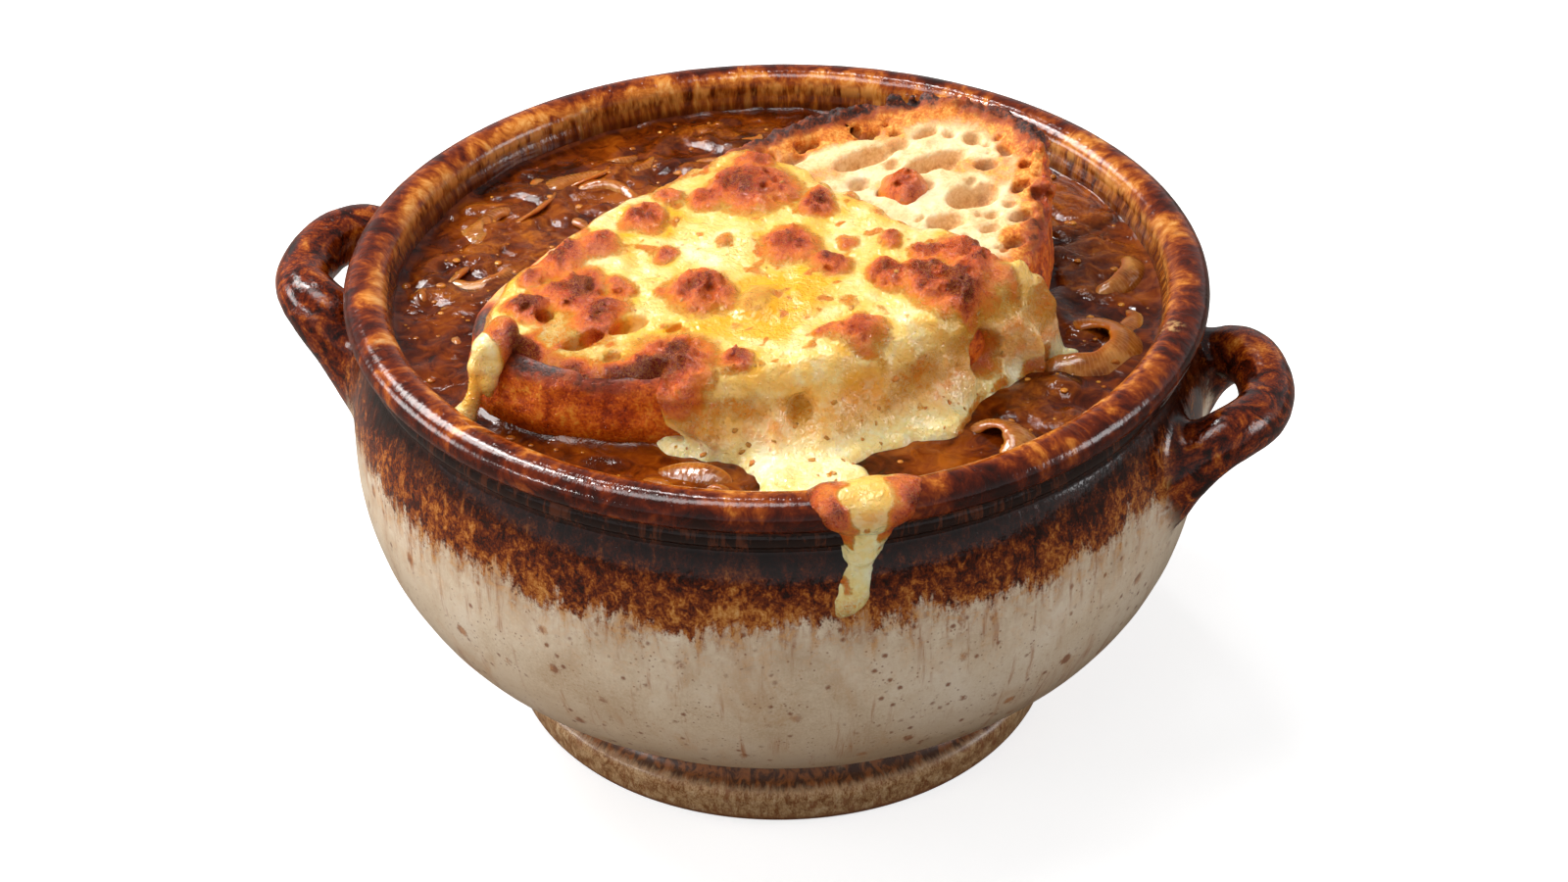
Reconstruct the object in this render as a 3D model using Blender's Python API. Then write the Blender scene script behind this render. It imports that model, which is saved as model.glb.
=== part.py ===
"""French onion soup in a footed stoneware crock with two loop handles.

A bowl of onion soup with a slice of toasted country bread lying in it, melted
cheese over the bread that hangs down its front, spreads on the soup and runs
over the rim, and soft onion pieces that stand out of the soup.

Units: metres. +Z is up, the origin is on the bowl's axis at the height of the
foot's underside, and the two handles lie along X. Sizes below are in
millimetres and are turned into metres where a mesh is made.
"""

import math

import bmesh
import bpy
from mathutils import Vector

MM = 0.001
GAP = 0.3             # clearance between pieces that touch

# ---- stoneware bowl -------------------------------------------------------
SEGMENTS = 40         # around the bowl's axis
RIM_R, RIM_Z = 71.3, 83.2        # centre of the rolled rim's section
RIM_A, RIM_B = 3.8, 3.2          # its half width and half height
RIDGE_R, RIDGE_Z = 72.9, 78.2    # second, softer ridge under the roll
NECK_R, NECK_Z = 71.8, 76.0      # hollow under that ridge
BELLY_R, BELLY_Z = 75.4, 54.0    # widest point of the body
BELLY_CENTRE_R, BELLY_DROP = 40.0, 39.0   # lower body is a quarter ellipse
WAIST_R, WAIST_Z = 46.3, 12.4    # groove between body and foot
FOOT_R, FOOT_Z = 50.2, 6.2       # widest point of the foot
FOOT_IN_R = 41.0                 # inner edge of the ring it stands on
RECESS_Z = 7.0                   # underside of the base inside the ring
LIP_IN_R = 66.8                  # inner wall where the soup meets it
INNER_R, INNER_Z = 68.3, 55.0    # widest point of the inside
FLOOR_R, FLOOR_Z = 34.0, 18.5    # flat floor of the inside

# ---- loop handles (side, reach, half span, wall height, rise, crown,
#      middle radius, root radius, fullness) -------------------------------
HANDLE_ROOT_R = 71.0
HANDLES = (
    (+1.0, 15.0, 16.9, 59.6, 9.2, 3.7, 5.0, 5.9, 0.95),
    (-1.0, 15.6, 14.6, 62.6, 12.0, 4.2, 5.0, 7.0, 0.62),
)
HANDLE_STEPS, HANDLE_SIDES = 16, 8

# ---- soup -----------------------------------------------------------------
SOUP_Z = 79.0
SOUP_WAVE = 0.35

# ---- bread: an oval slice, its own u axis turned from X --------------------
BREAD_X, BREAD_Y, BREAD_TURN = 4.2, -9.2, math.radians(41.0)
BREAD_A, BREAD_B = 53.0, 30.4
BREAD_Z0, BREAD_SLOPE_X, BREAD_SLOPE_Y = 95.9, 0.0076, 0.107
BREAD_THICK = 22.0
BREAD_STEPS = 40

# ---- cheese ---------------------------------------------------------------
CHEESE_THICK = 2.6
CURTAIN_FROM, CURTAIN_TO = math.radians(-133.0), math.radians(-62.0)

# the run over the rim: its azimuth round the bowl and its width
RUN_AZIMUTH, RUN_HALF_ANGLE = math.radians(-64.5), math.radians(6.2)


# ---------------------------------------------------------------------------
# helpers
# ---------------------------------------------------------------------------
def clear_scene():
    for obj in list(bpy.data.objects):
        bpy.data.objects.remove(obj, do_unlink=True)


def make_material(name, colour, roughness, metallic=0.0):
    material = bpy.data.materials.new(name)
    material.use_nodes = True
    shader = material.node_tree.nodes["Principled BSDF"]
    shader.inputs["Base Color"].default_value = (*colour, 1.0)
    shader.inputs["Roughness"].default_value = roughness
    shader.inputs["Metallic"].default_value = metallic
    material.diffuse_color = (*colour, 1.0)
    return material


def from_rings(name, rings, first, last, closed=False, smooth=True):
    """A closed skin through rings of equal length, each ring a loop.

    first and last are the points that close its two ends; with closed set the
    last ring joins the first instead, as in a turned wall."""
    bm = bmesh.new()
    loops = [[bm.verts.new(Vector(p) * MM) for p in ring] for ring in rings]
    count = len(loops[0])
    pairs = list(zip(loops, loops[1:]))
    if closed:
        pairs.append((loops[-1], loops[0]))
    for low, high in pairs:
        for i in range(count):
            j = (i + 1) % count
            bm.faces.new((low[i], low[j], high[j], high[i]))
    if not closed:
        for loop, point in ((loops[0], first), (loops[-1], last)):
            tip = bm.verts.new(Vector(point) * MM)
            for i in range(count):
                bm.faces.new((loop[i], loop[(i + 1) % count], tip))
    bmesh.ops.recalc_face_normals(bm, faces=bm.faces)
    bmesh.ops.triangulate(bm, faces=bm.faces)
    mesh = bpy.data.meshes.new(name)
    bm.to_mesh(mesh)
    bm.free()
    obj = bpy.data.objects.new(name, mesh)
    bpy.context.scene.collection.objects.link(obj)
    if smooth:
        mesh.shade_smooth()
        mesh.set_sharp_from_angle(angle=math.radians(40.0))
    return obj


def cutter(obj):
    obj.hide_render = True
    obj.display_type = "WIRE"
    return obj


def boolean(obj, other, operation, folded=False):
    modifier = obj.modifiers.new(operation.title() + "_" + other.name, "BOOLEAN")
    modifier.operation = operation
    modifier.solver = "EXACT"
    modifier.use_self = folded
    modifier.object = other


def smoothstep(a, b, x):
    t = min(1.0, max(0.0, (x - a) / (b - a)))
    return t * t * (3.0 - 2.0 * t)


def bump(x, centre, width):
    return math.exp(-(((x - centre) / width) ** 2))


def between(a, b, count):
    return [a + (b - a) * i / (count - 1) for i in range(count)]


# ---------------------------------------------------------------------------
# bowl
# ---------------------------------------------------------------------------
def outer_profile():
    """Half section of the outside, from the top of the rim to the foot."""
    line = []
    for t in between(90.0, -50.0, 7):                      # rolled rim
        a = math.radians(t)
        line.append((RIM_R + RIM_A * math.cos(a), RIM_Z + RIM_B * math.sin(a)))
    line.append((72.4, 80.0))
    for t in between(55.0, -55.0, 3):                      # soft ridge
        a = math.radians(t)
        line.append((RIDGE_R - 0.9 + 0.9 * math.cos(a), RIDGE_Z + 1.5 * math.sin(a)))
    for z in between(NECK_Z, BELLY_Z + 5.0, 5):            # shoulder
        k = (z - BELLY_Z) / (NECK_Z - BELLY_Z)
        line.append((BELLY_R - (BELLY_R - NECK_R) * k ** 3.4, z))
    for t in between(0.0, 78.0, 8):                        # lower body
        a = math.radians(t)
        line.append((
            BELLY_CENTRE_R + (BELLY_R - BELLY_CENTRE_R) * math.cos(a),
            BELLY_Z - BELLY_DROP * math.sin(a),
        ))
    line.append((WAIST_R, WAIST_Z))
    line.append((WAIST_R + 0.9, WAIST_Z - 2.6))
    for t in between(75.0, -20.0, 3):                      # foot
        a = math.radians(t)
        line.append((FOOT_R - 2.0 + 2.0 * math.cos(a), FOOT_Z + 2.2 * math.sin(a)))
    line.append((FOOT_R - 0.9, 1.4))
    line.append((FOOT_R - 2.2, 0.0))
    return line


def inner_profile():
    """Half section of the inside, from the floor up to the rim."""
    line = []
    for t in between(86.0, 0.0, 6):
        a = math.radians(t)
        line.append((
            FLOOR_R + (INNER_R - FLOOR_R) * math.cos(a),
            INNER_Z - (INNER_Z - FLOOR_Z) * math.sin(a),
        ))
    line.append((67.9, 67.0))
    line.append((67.1, 74.0))
    line.append((LIP_IN_R, 79.0))
    line.append((67.0, 81.4))
    for t in between(190.0, 115.0, 4):
        a = math.radians(t)
        line.append((RIM_R + RIM_A * math.cos(a), RIM_Z + RIM_B * math.sin(a)))
    return line


def turned(name, section, first_z, last_z, segments=SEGMENTS):
    rings = [
        [
            (r * math.cos(2 * math.pi * i / segments), r * math.sin(2 * math.pi * i / segments), z)
            for i in range(segments)
        ]
        for r, z in section
    ]
    return from_rings(name, rings, (0, 0, first_z), (0, 0, last_z))


def offset_section(section, distance):
    """The section moved outwards, away from the stoneware, by distance."""
    moved = []
    last = len(section) - 1
    for i, (r, z) in enumerate(section):
        r0, z0 = section[max(0, i - 1)]
        r1, z1 = section[min(last, i + 1)]
        dr, dz = r1 - r0, z1 - z0
        length = math.hypot(dr, dz)
        moved.append((r - dz / length * distance, z + dr / length * distance))
    return moved


def wall_space(name, gap):
    """The upper wall and its rim grown by gap, as a closed ring."""
    inside = [p for p in inner_profile() if p[1] > 70.0]
    outside = [p for p in outer_profile() if p[1] > 62.0]
    skin = offset_section(inside + outside, gap)
    middle = (0.5 * (skin[0][0] + skin[-1][0]), 0.5 * (skin[0][1] + skin[-1][1]) - 3.0)
    rings = [
        [
            (r * math.cos(2 * math.pi * i / SEGMENTS), r * math.sin(2 * math.pi * i / SEGMENTS), z)
            for i in range(SEGMENTS)
        ]
        for r, z in skin + [middle]
    ]
    return from_rings(name, rings, None, None, closed=True)


def bowl_section():
    """From the middle of the floor over the rim to the middle of the base."""
    return (
        inner_profile()
        + outer_profile()
        + [(FOOT_IN_R, 0.0), (FOOT_IN_R - 1.0, 1.0), (FOOT_IN_R - 2.0, RECESS_Z - 0.8),
           (FOOT_IN_R - 4.0, RECESS_Z)]
    )


def handle(name, side, reach, half_span, wall_z, rise, crown, r_mid, r_root, full):
    """A pulled loop: it leaves the wall, rises as it comes out, and returns."""
    def centre(angle):
        out = max(0.0, math.cos(angle)) ** full
        return Vector((
            side * (HANDLE_ROOT_R + reach * out),
            half_span * math.sin(angle),
            wall_z + rise * out + crown * 4.0 * out * (1.0 - out),
        ))

    rings = []
    for k in range(HANDLE_STEPS + 1):
        angle = -math.pi / 2 + math.pi * k / HANDLE_STEPS
        here = centre(angle)
        ahead = centre(min(math.pi / 2, angle + 0.02))
        behind = centre(max(-math.pi / 2, angle - 0.02))
        root = (1.0 - max(0.0, math.cos(angle))) ** 2
        straight = Vector((side if angle < 0.0 else -side, 0.0, 0.0))
        along = (ahead - behind).normalized().lerp(straight, root).normalized()
        across = along.cross(Vector((0.0, 0.0, 1.0))).normalized()
        up = across.cross(along).normalized()
        radius = r_mid + (r_root - r_mid) * root
        rings.append([
            here + across * (radius * math.cos(a)) + up * (radius * math.sin(a))
            for a in (2 * math.pi * i / HANDLE_SIDES for i in range(HANDLE_SIDES))
        ])
    return from_rings(name, rings, centre(-math.pi / 2), centre(math.pi / 2))


def make_bowl(material):
    bowl = turned("bowl", bowl_section(), FLOOR_Z, RECESS_Z)
    for number, sizes in enumerate(HANDLES):
        loop = cutter(handle("handle_loop_%d" % (number + 1), *sizes))
        boolean(bowl, loop, "UNION")
    bowl.data.materials.append(material)
    return bowl


# ---------------------------------------------------------------------------
# soup
# ---------------------------------------------------------------------------
def soup_height(x, y):
    return SOUP_Z + SOUP_WAVE * (
        math.sin(0.23 * x + 0.11 * y) * math.cos(0.19 * y - 0.07 * x)
    )


def soup_body(name, lift, gap, radius_to_wall=True):
    """The soup, or with lift the space below a surface that much higher."""
    section = [(r, z) for r, z in inner_profile() if z < SOUP_Z - 3.0]
    section = offset_section(section, gap)
    section.append((LIP_IN_R - gap - 0.05, SOUP_Z - 2.0))
    segments = SEGMENTS
    def ring(r, z=None):
        points = []
        for i in range(segments):
            a = 2 * math.pi * i / segments
            x, y = r * math.cos(a), r * math.sin(a)
            points.append((x, y, soup_height(x, y) + lift if z is None else z))
        return points
    rings = [ring(r, z) for r, z in section]
    outside = LIP_IN_R - gap
    for r in (outside, 52.0, 36.0, 18.0):
        rings.append(ring(r))
    return from_rings(
        name, rings, (0, 0, FLOOR_Z + gap), (0, 0, soup_height(0, 0) + lift)
    )


# ---------------------------------------------------------------------------
# bread
# ---------------------------------------------------------------------------
def bread_edge(angle):
    """Half length and half width direction of the slice's outline."""
    lump = (
        1.0
        - 0.025 * math.cos(2 * angle - 4.41)
        - 0.068 * math.cos(3 * angle - 5.48)
        + 0.008 * math.sin(7 * angle + 0.6)
    )
    return BREAD_A * math.cos(angle) * lump, BREAD_B * math.sin(angle) * lump


def bread_normal(angle):
    n = Vector((math.cos(angle) / BREAD_A, math.sin(angle) / BREAD_B)).normalized()
    return n.x, n.y


def place(u, v):
    c, s = math.cos(BREAD_TURN), math.sin(BREAD_TURN)
    return BREAD_X + u * c - v * s, BREAD_Y + u * s + v * c


def bread_top(x, y):
    return BREAD_Z0 + BREAD_SLOPE_X * x + BREAD_SLOPE_Y * y


def curl(angle, fraction):
    """The toasted edge at the back and the far end stands up a little."""
    return 2.4 * smoothstep(0.80, 0.97, fraction) * (
        bump(angle, math.radians(55), math.radians(38))
        + 0.7 * bump(angle, math.radians(5), math.radians(25))
    )


def bread_body(name, gap):
    rings = []

    def ring(fraction, out, drop, lift=0.0):
        points = []
        for i in range(BREAD_STEPS):
            angle = -math.pi + 2 * math.pi * i / BREAD_STEPS
            u, v = bread_edge(angle)
            nu, nv = bread_normal(angle)
            x, y = place(u * fraction + nu * out, v * fraction + nv * out)
            z = bread_top(x, y) - drop + lift
            if drop < 1.5:
                z += curl(angle, fraction)
            points.append((x, y, z))
        rings.append(points)

    for fraction in (0.30, 0.60, 0.82):
        ring(fraction, 0.0, 0.0, gap)
    ring(0.93, 0.0, 0.2, gap)
    ring(0.985, gap * 0.6, 1.1, gap * 0.6)
    ring(1.0, gap, 3.0)
    ring(1.0, 1.2 + gap, 9.0)
    ring(1.0, 0.6 + gap, 15.0)
    ring(1.0, -1.5 + gap, BREAD_THICK - 2.0)
    ring(0.93, 0.0, BREAD_THICK, -gap)
    ring(0.5, 0.0, BREAD_THICK, -gap)
    x, y = place(0.0, 0.0)
    return from_rings(
        name, rings,
        (x, y, bread_top(x, y) + gap),
        (x, y, bread_top(x, y) - BREAD_THICK - gap),
    )


# ---------------------------------------------------------------------------
# cheese
# ---------------------------------------------------------------------------
def cover(angle):
    """How far out over the slice the cheese lies, as a share of its edge."""
    bare = (
        0.55 * bump(angle, math.radians(20), math.radians(38))
        + 0.22 * bump(angle, math.radians(-22), math.radians(16))
        + 0.06 * bump(angle, math.radians(62), math.radians(14))
    )
    return 0.97 - bare - 0.04 * bump(angle, math.radians(-160), math.radians(14))


def curtain(angle):
    """1 where the cheese hangs down the front of the slice."""
    soft = math.radians(7.0)
    return smoothstep(CURTAIN_FROM - soft, CURTAIN_FROM + soft, angle) * (
        1.0 - smoothstep(CURTAIN_TO - soft, CURTAIN_TO + soft, angle)
    )


def pool(angle):
    """How far the cheese spreads on the soup past the foot of the curtain."""
    degrees = math.degrees(angle)
    return curtain(angle) * (
        2.0
        + 15.5 * bump(degrees, -103.0, 10.0)
        + 7.5 * bump(degrees, -82.0, 8.0)
    )


def cheese_sheet(name):
    steps_out = 8
    count = 42

    def spine(angle, share):
        """Point on the sheet's middle and how far it is turned over."""
        u, v = bread_edge(angle)
        nu, nv = bread_normal(angle)
        reach = math.hypot(u, v) * cover(angle) * (1.0 - 0.0 * curtain(angle))
        hang = curtain(angle)
        edge = math.hypot(u, v) + 1.6
        flat = reach + hang * (edge - reach)
        x0, y0 = place(u, v)
        height = bread_top(x0, y0) - SOUP_Z
        down = hang * (height + 0.5)
        spread = pool(angle)
        length = (flat + down + spread) * share
        du, dv = u / math.hypot(u, v), v / math.hypot(u, v)
        if length <= flat:
            x, y = place(du * length, dv * length)
            return x, y, bread_top(x, y) + curl(angle, length / edge) * (1 - hang), 0.0
        x, y = place(du * flat, dv * flat)
        z = bread_top(x, y)
        if length <= flat + down:
            k = (length - flat) / max(down, 1e-6)
            lean = 2.2 * k * hang
            xx, yy = place(du * flat + nu * lean, dv * flat + nv * lean)
            return xx, yy, z - (length - flat), 1.0
        far = length - flat - down
        xx, yy = place(du * flat + nu * (2.2 * hang + far), dv * flat + nv * (2.2 * hang + far))
        return xx, yy, SOUP_Z, 2.0

    def ring(share, side):
        points = []
        for i in range(count):
            angle = -math.pi + 2 * math.pi * i / count
            x, y, z, turned_over = spine(angle, share)
            nu, nv = bread_normal(angle)
            c, s = math.cos(BREAD_TURN), math.sin(BREAD_TURN)
            nx, ny = nu * c - nv * s, nu * s + nv * c
            thin = 1.0 - 0.75 * smoothstep(0.90, 1.0, share)
            lumps = 0.5 * math.sin(0.31 * x + 1.0) * math.sin(0.27 * y)
            if side > 0:
                if turned_over < 0.5:
                    z += (CHEESE_THICK + lumps) * thin
                elif turned_over < 1.5:
                    x += nx * (CHEESE_THICK - 0.2) * 0.8
                    y += ny * (CHEESE_THICK - 0.2) * 0.8
                    z += 1.2
                else:
                    z += 2.2 * thin
            else:
                if turned_over < 0.5:
                    z -= 0.8
                elif turned_over < 1.5:
                    x -= nx * 2.4
                    y -= ny * 2.4
                    z -= 0.6
                else:
                    z -= 1.2
            points.append((x, y, z))
        return points

    shares = [k / steps_out for k in range(1, steps_out + 1)]
    rings = [ring(s, +1) for s in shares] + [ring(s, -1) for s in reversed(shares)]
    x, y = place(0.0, 0.0)
    return from_rings(
        name, rings,
        (x, y, bread_top(x, y) + CHEESE_THICK),
        (x, y, bread_top(x, y) - 0.8),
    )


def cheese_run(name):
    """The strand that climbs out of the pool, over the rim and down."""
    section = [p for p in inner_profile() if p[1] > 78.5]
    section = [(58.0, SOUP_Z - 0.6), (64.0, SOUP_Z - 0.2)] + section[1:] + [
        p for p in outer_profile() if p[1] > 71.5
    ]
    length = [0.0]
    for a, b in zip(section, section[1:]):
        length.append(length[-1] + math.dist(a, b))
    total = length[-1]
    across = 7
    lower, upper = offset_section(section, -0.8), []
    thick = []
    for l in length:
        s = l / total
        thick.append((1.9 + 0.6 * bump(s, 0.85, 0.12)) * math.sqrt(max(0.0, 1.0 - (max(0.0, s - 0.9) / 0.1001) ** 2)) + 0.2)
    outer = []
    for i, (r, z) in enumerate(section):
        outer.append(offset_section(section, thick[i])[i])
    rings = []
    for i, l in enumerate(length):
        s = l / total
        half = RUN_HALF_ANGLE * (1.15 - 0.62 * smoothstep(0.30, 0.85, s)) * (
            math.sqrt(max(0.0, 1.0 - (max(0.0, s - 0.86) / 0.1401) ** 2)) * 0.75 + 0.25
        )
        loop = []
        for k in range(across):                       # outside, left to right
            q = -1.0 + 2.0 * k / (across - 1)
            lift = math.sqrt(max(0.0, 1.0 - q * q)) * 0.85 + 0.15
            r = lower[i][0] + (outer[i][0] - lower[i][0]) * lift
            z = lower[i][1] + (outer[i][1] - lower[i][1]) * lift
            a = RUN_AZIMUTH + half * q
            loop.append((r * math.cos(a), r * math.sin(a), z))
        for k in range(across - 2, 0, -1):            # inside, right to left
            q = -1.0 + 2.0 * k / (across - 1)
            a = RUN_AZIMUTH + half * q
            loop.append((lower[i][0] * math.cos(a), lower[i][0] * math.sin(a), lower[i][1]))
        rings.append(loop)

    def middle(loop):
        total_point = Vector((0.0, 0.0, 0.0))
        for p in loop:
            total_point += Vector(p)
        return total_point / len(loop)

    return from_rings(name, rings, middle(rings[0]), middle(rings[-1]))


# ---------------------------------------------------------------------------
# onion pieces that stand out of the soup
# ---------------------------------------------------------------------------
def onion_arc(name, centre, radii, turn, sweep, section, tilt, gap):
    """A bent band: a cut half ring of onion lying in the soup.

    centre: x, y, z of the ring; radii: its two half axes; turn: direction of
    the first; sweep: start and end angle; section: half height and half
    thickness of the band; tilt: how far its section leans outwards."""
    rings = []
    steps, sides = 10, 6
    cx, cy, cz = centre
    for k in range(steps + 1):
        a = math.radians(sweep[0] + (sweep[1] - sweep[0]) * k / steps)
        u, v = radii[0] * math.cos(a), radii[1] * math.sin(a)
        n = Vector((math.cos(a) / radii[0], math.sin(a) / radii[1])).normalized()
        end = math.sqrt(max(0.0, 1.0 - abs(2.0 * k / steps - 1.0) ** 6)) * 0.6 + 0.4
        loop = []
        for i in range(sides):
            b = 2 * math.pi * i / sides
            high = (section[0] * end + gap) * math.sin(b)
            wide = (section[1] * end + gap) * math.cos(b)
            out = wide * math.cos(tilt) + high * math.sin(tilt)
            up = high * math.cos(tilt) - wide * math.sin(tilt)
            uu, vv = u + n.x * out, v + n.y * out
            loop.append((
                cx + uu * math.cos(turn) - vv * math.sin(turn),
                cy + uu * math.sin(turn) + vv * math.cos(turn),
                cz + up,
            ))
        rings.append(loop)

    def end_point(loop, other):
        middle = Vector((0.0, 0.0, 0.0))
        away = Vector((0.0, 0.0, 0.0))
        for p, q in zip(loop, other):
            middle += Vector(p) / sides
            away += (Vector(p) - Vector(q)) / sides
        return middle + away.normalized() * (0.8 + gap)

    return from_rings(name, rings, end_point(rings[0], rings[1]), end_point(rings[-1], rings[-2]))


ONIONS = {
    # name: centre, radii, turn, sweep, half height and thickness, tilt
    "onion_half_ring_right": (
        (53.4, -6.2, 79.9), (9.8, 8.2), math.radians(25.0), (-150.0, 95.0),
        (3.0, 1.7), math.radians(38.0),
    ),
    "onion_half_ring_front": (
        (44.4, -37.4, 79.6), (5.8, 5.4), math.radians(0.0), (-55.0, 150.0),
        (2.8, 1.6), math.radians(35.0),
    ),
    "onion_petal_back_right": (
        (55.2, 18.6, 79.3), (6.4, 3.8), math.radians(72.0), (-170.0, 10.0),
        (2.6, 1.7), math.radians(25.0),
    ),
    "onion_petal_front": (
        (-1.5, -60.6, 79.3), (6.0, 3.2), math.radians(5.0), (5.0, 175.0),
        (2.3, 1.5), math.radians(30.0),
    ),
    "onion_petal_left": (
        (-54.5, 12.0, 79.2), (7.0, 4.6), math.radians(75.0), (-10.0, 180.0),
        (2.4, 1.6), math.radians(20.0),
    ),
    "onion_petal_back_left": (
        (-43.6, 29.4, 79.3), (7.6, 4.6), math.radians(40.0), (10.0, 190.0),
        (2.4, 1.6), math.radians(25.0),
    ),
}


BESIDE_CHEESE = ("onion_half_ring_front", "onion_petal_front")


# ---------------------------------------------------------------------------
# assembly
# ---------------------------------------------------------------------------
def main():
    clear_scene()
    stoneware = make_material("glazed_stoneware", (0.30, 0.13, 0.05), 0.22)
    soup_look = make_material("onion_broth", (0.14, 0.05, 0.015), 0.12)
    bread_look = make_material("toasted_bread", (0.55, 0.28, 0.09), 0.75)
    cheese_look = make_material("melted_cheese", (0.85, 0.62, 0.22), 0.35)
    onion_look = make_material("soft_onion", (0.52, 0.28, 0.10), 0.25)

    make_bowl(stoneware)

    soup = soup_body("broth", 0.0, GAP)
    soup.data.materials.append(soup_look)
    bread = bread_body("bread", 0.0)
    bread.data.materials.append(bread_look)

    cheese = cheese_sheet("cheese")
    cheese.data.materials.append(cheese_look)
    boolean(cheese, cutter(cheese_run("cheese_run_shape")), "UNION", folded=True)

    bread_space = cutter(bread_body("bread_space", GAP))
    soup_space = cutter(soup_body("soup_space", GAP, GAP))
    bowl_space = cutter(wall_space("bowl_space", GAP))
    boolean(cheese, bread_space, "DIFFERENCE", folded=True)
    boolean(cheese, soup_space, "DIFFERENCE", folded=True)
    boolean(cheese, bowl_space, "DIFFERENCE", folded=True)
    boolean(soup, bread_space, "DIFFERENCE")

    for name, sizes in ONIONS.items():
        piece = onion_arc(name, *sizes, 0.0)
        piece.data.materials.append(onion_look)
        space = cutter(onion_arc(name + "_space", *sizes, GAP))
        boolean(soup, space, "DIFFERENCE")
        if name in BESIDE_CHEESE:
            boolean(cheese, space, "DIFFERENCE", folded=True)


main()
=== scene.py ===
"""Looks of a french onion soup in a footed stoneware crock.

Every shape below is worked out from named sizes in millimetres, as a signed
distance (negative inside), meshed with a small surface-nets routine, and
turned into metres when the mesh is made. +Z is up, the origin is on the
bowl's axis at the foot's underside and the handles lie along X.
"""
import math

import bpy
import numpy as np
from mathutils import Matrix, Vector


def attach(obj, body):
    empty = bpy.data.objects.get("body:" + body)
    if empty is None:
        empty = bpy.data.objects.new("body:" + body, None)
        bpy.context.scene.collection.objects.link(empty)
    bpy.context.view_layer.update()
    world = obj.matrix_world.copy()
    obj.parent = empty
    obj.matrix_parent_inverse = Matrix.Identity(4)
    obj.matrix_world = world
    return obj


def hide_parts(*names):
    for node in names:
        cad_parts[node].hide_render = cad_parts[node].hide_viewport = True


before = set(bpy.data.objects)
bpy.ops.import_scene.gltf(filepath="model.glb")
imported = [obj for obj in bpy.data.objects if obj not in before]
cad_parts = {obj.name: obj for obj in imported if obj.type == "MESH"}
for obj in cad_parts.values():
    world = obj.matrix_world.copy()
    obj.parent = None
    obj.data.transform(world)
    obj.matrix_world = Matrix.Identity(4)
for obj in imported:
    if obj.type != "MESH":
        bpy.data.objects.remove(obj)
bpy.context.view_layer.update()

MM = 0.001
PI = math.pi

# --------------------------------------------------------------------------
# noise
# --------------------------------------------------------------------------
_RNG = np.random.RandomState(20417)
_TAB = _RNG.rand(64, 64, 64).astype(np.float32)


def vnoise(p, scale, seed=0):
    """Smooth value noise in -1..1 at points p (N, 3), scale in cells per mm."""
    q = np.asarray(p, np.float64) * scale + np.array(
        [seed * 17.137, seed * 7.713, seed * 3.371]
    )
    i = np.floor(q).astype(np.int64)
    f = (q - i).astype(np.float32)
    f = f * f * f * (f * (f * 6.0 - 15.0) + 10.0)
    i &= 63
    j = (i + 1) & 63
    x0, y0, z0 = i[:, 0], i[:, 1], i[:, 2]
    x1, y1, z1 = j[:, 0], j[:, 1], j[:, 2]
    fx, fy, fz = f[:, 0], f[:, 1], f[:, 2]
    a = _TAB[x0, y0, z0] * (1 - fx) + _TAB[x1, y0, z0] * fx
    b = _TAB[x0, y1, z0] * (1 - fx) + _TAB[x1, y1, z0] * fx
    c = _TAB[x0, y0, z1] * (1 - fx) + _TAB[x1, y0, z1] * fx
    d = _TAB[x0, y1, z1] * (1 - fx) + _TAB[x1, y1, z1] * fx
    e = a * (1 - fy) + b * fy
    g = c * (1 - fy) + d * fy
    return (e * (1 - fz) + g * fz) * 2.0 - 1.0


def fbm(p, scale, octaves=3, seed=0, gain=0.5):
    scale = np.asarray(scale, np.float64)
    total = np.zeros(len(p), np.float32)
    amp, norm = 1.0, 0.0
    for k in range(octaves):
        total += amp * vnoise(p, scale * (2.03 ** k), seed + 5 * k)
        norm += amp
        amp *= gain
    return total / norm


def smooth(a, b, x):
    t = np.clip((x - a) / (b - a), 0.0, 1.0)
    return t * t * (3.0 - 2.0 * t)


def bump(x, centre, width):
    return np.exp(-(((x - centre) / width) ** 2))


def smin(a, b, k):
    h = np.clip(0.5 + 0.5 * (b - a) / k, 0.0, 1.0)
    return b * (1 - h) + a * h - k * h * (1 - h)


def smax(a, b, k):
    return -smin(-a, -b, k)


# --------------------------------------------------------------------------
# meshing
# --------------------------------------------------------------------------
_CORNERS = [(a, b, c) for a in (0, 1) for b in (0, 1) for c in (0, 1)]
_EDGES = [
    (m, n)
    for m in range(8)
    for n in range(m + 1, 8)
    if sum(abs(_CORNERS[m][t] - _CORNERS[n][t]) for t in range(3)) == 1
]


def grid_points(low, high, h):
    axes = [np.arange(low[t], high[t] + h, h) for t in range(3)]
    g = np.stack(np.meshgrid(*axes, indexing="ij"), -1)
    return g, np.array([a[0] for a in axes])


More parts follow.
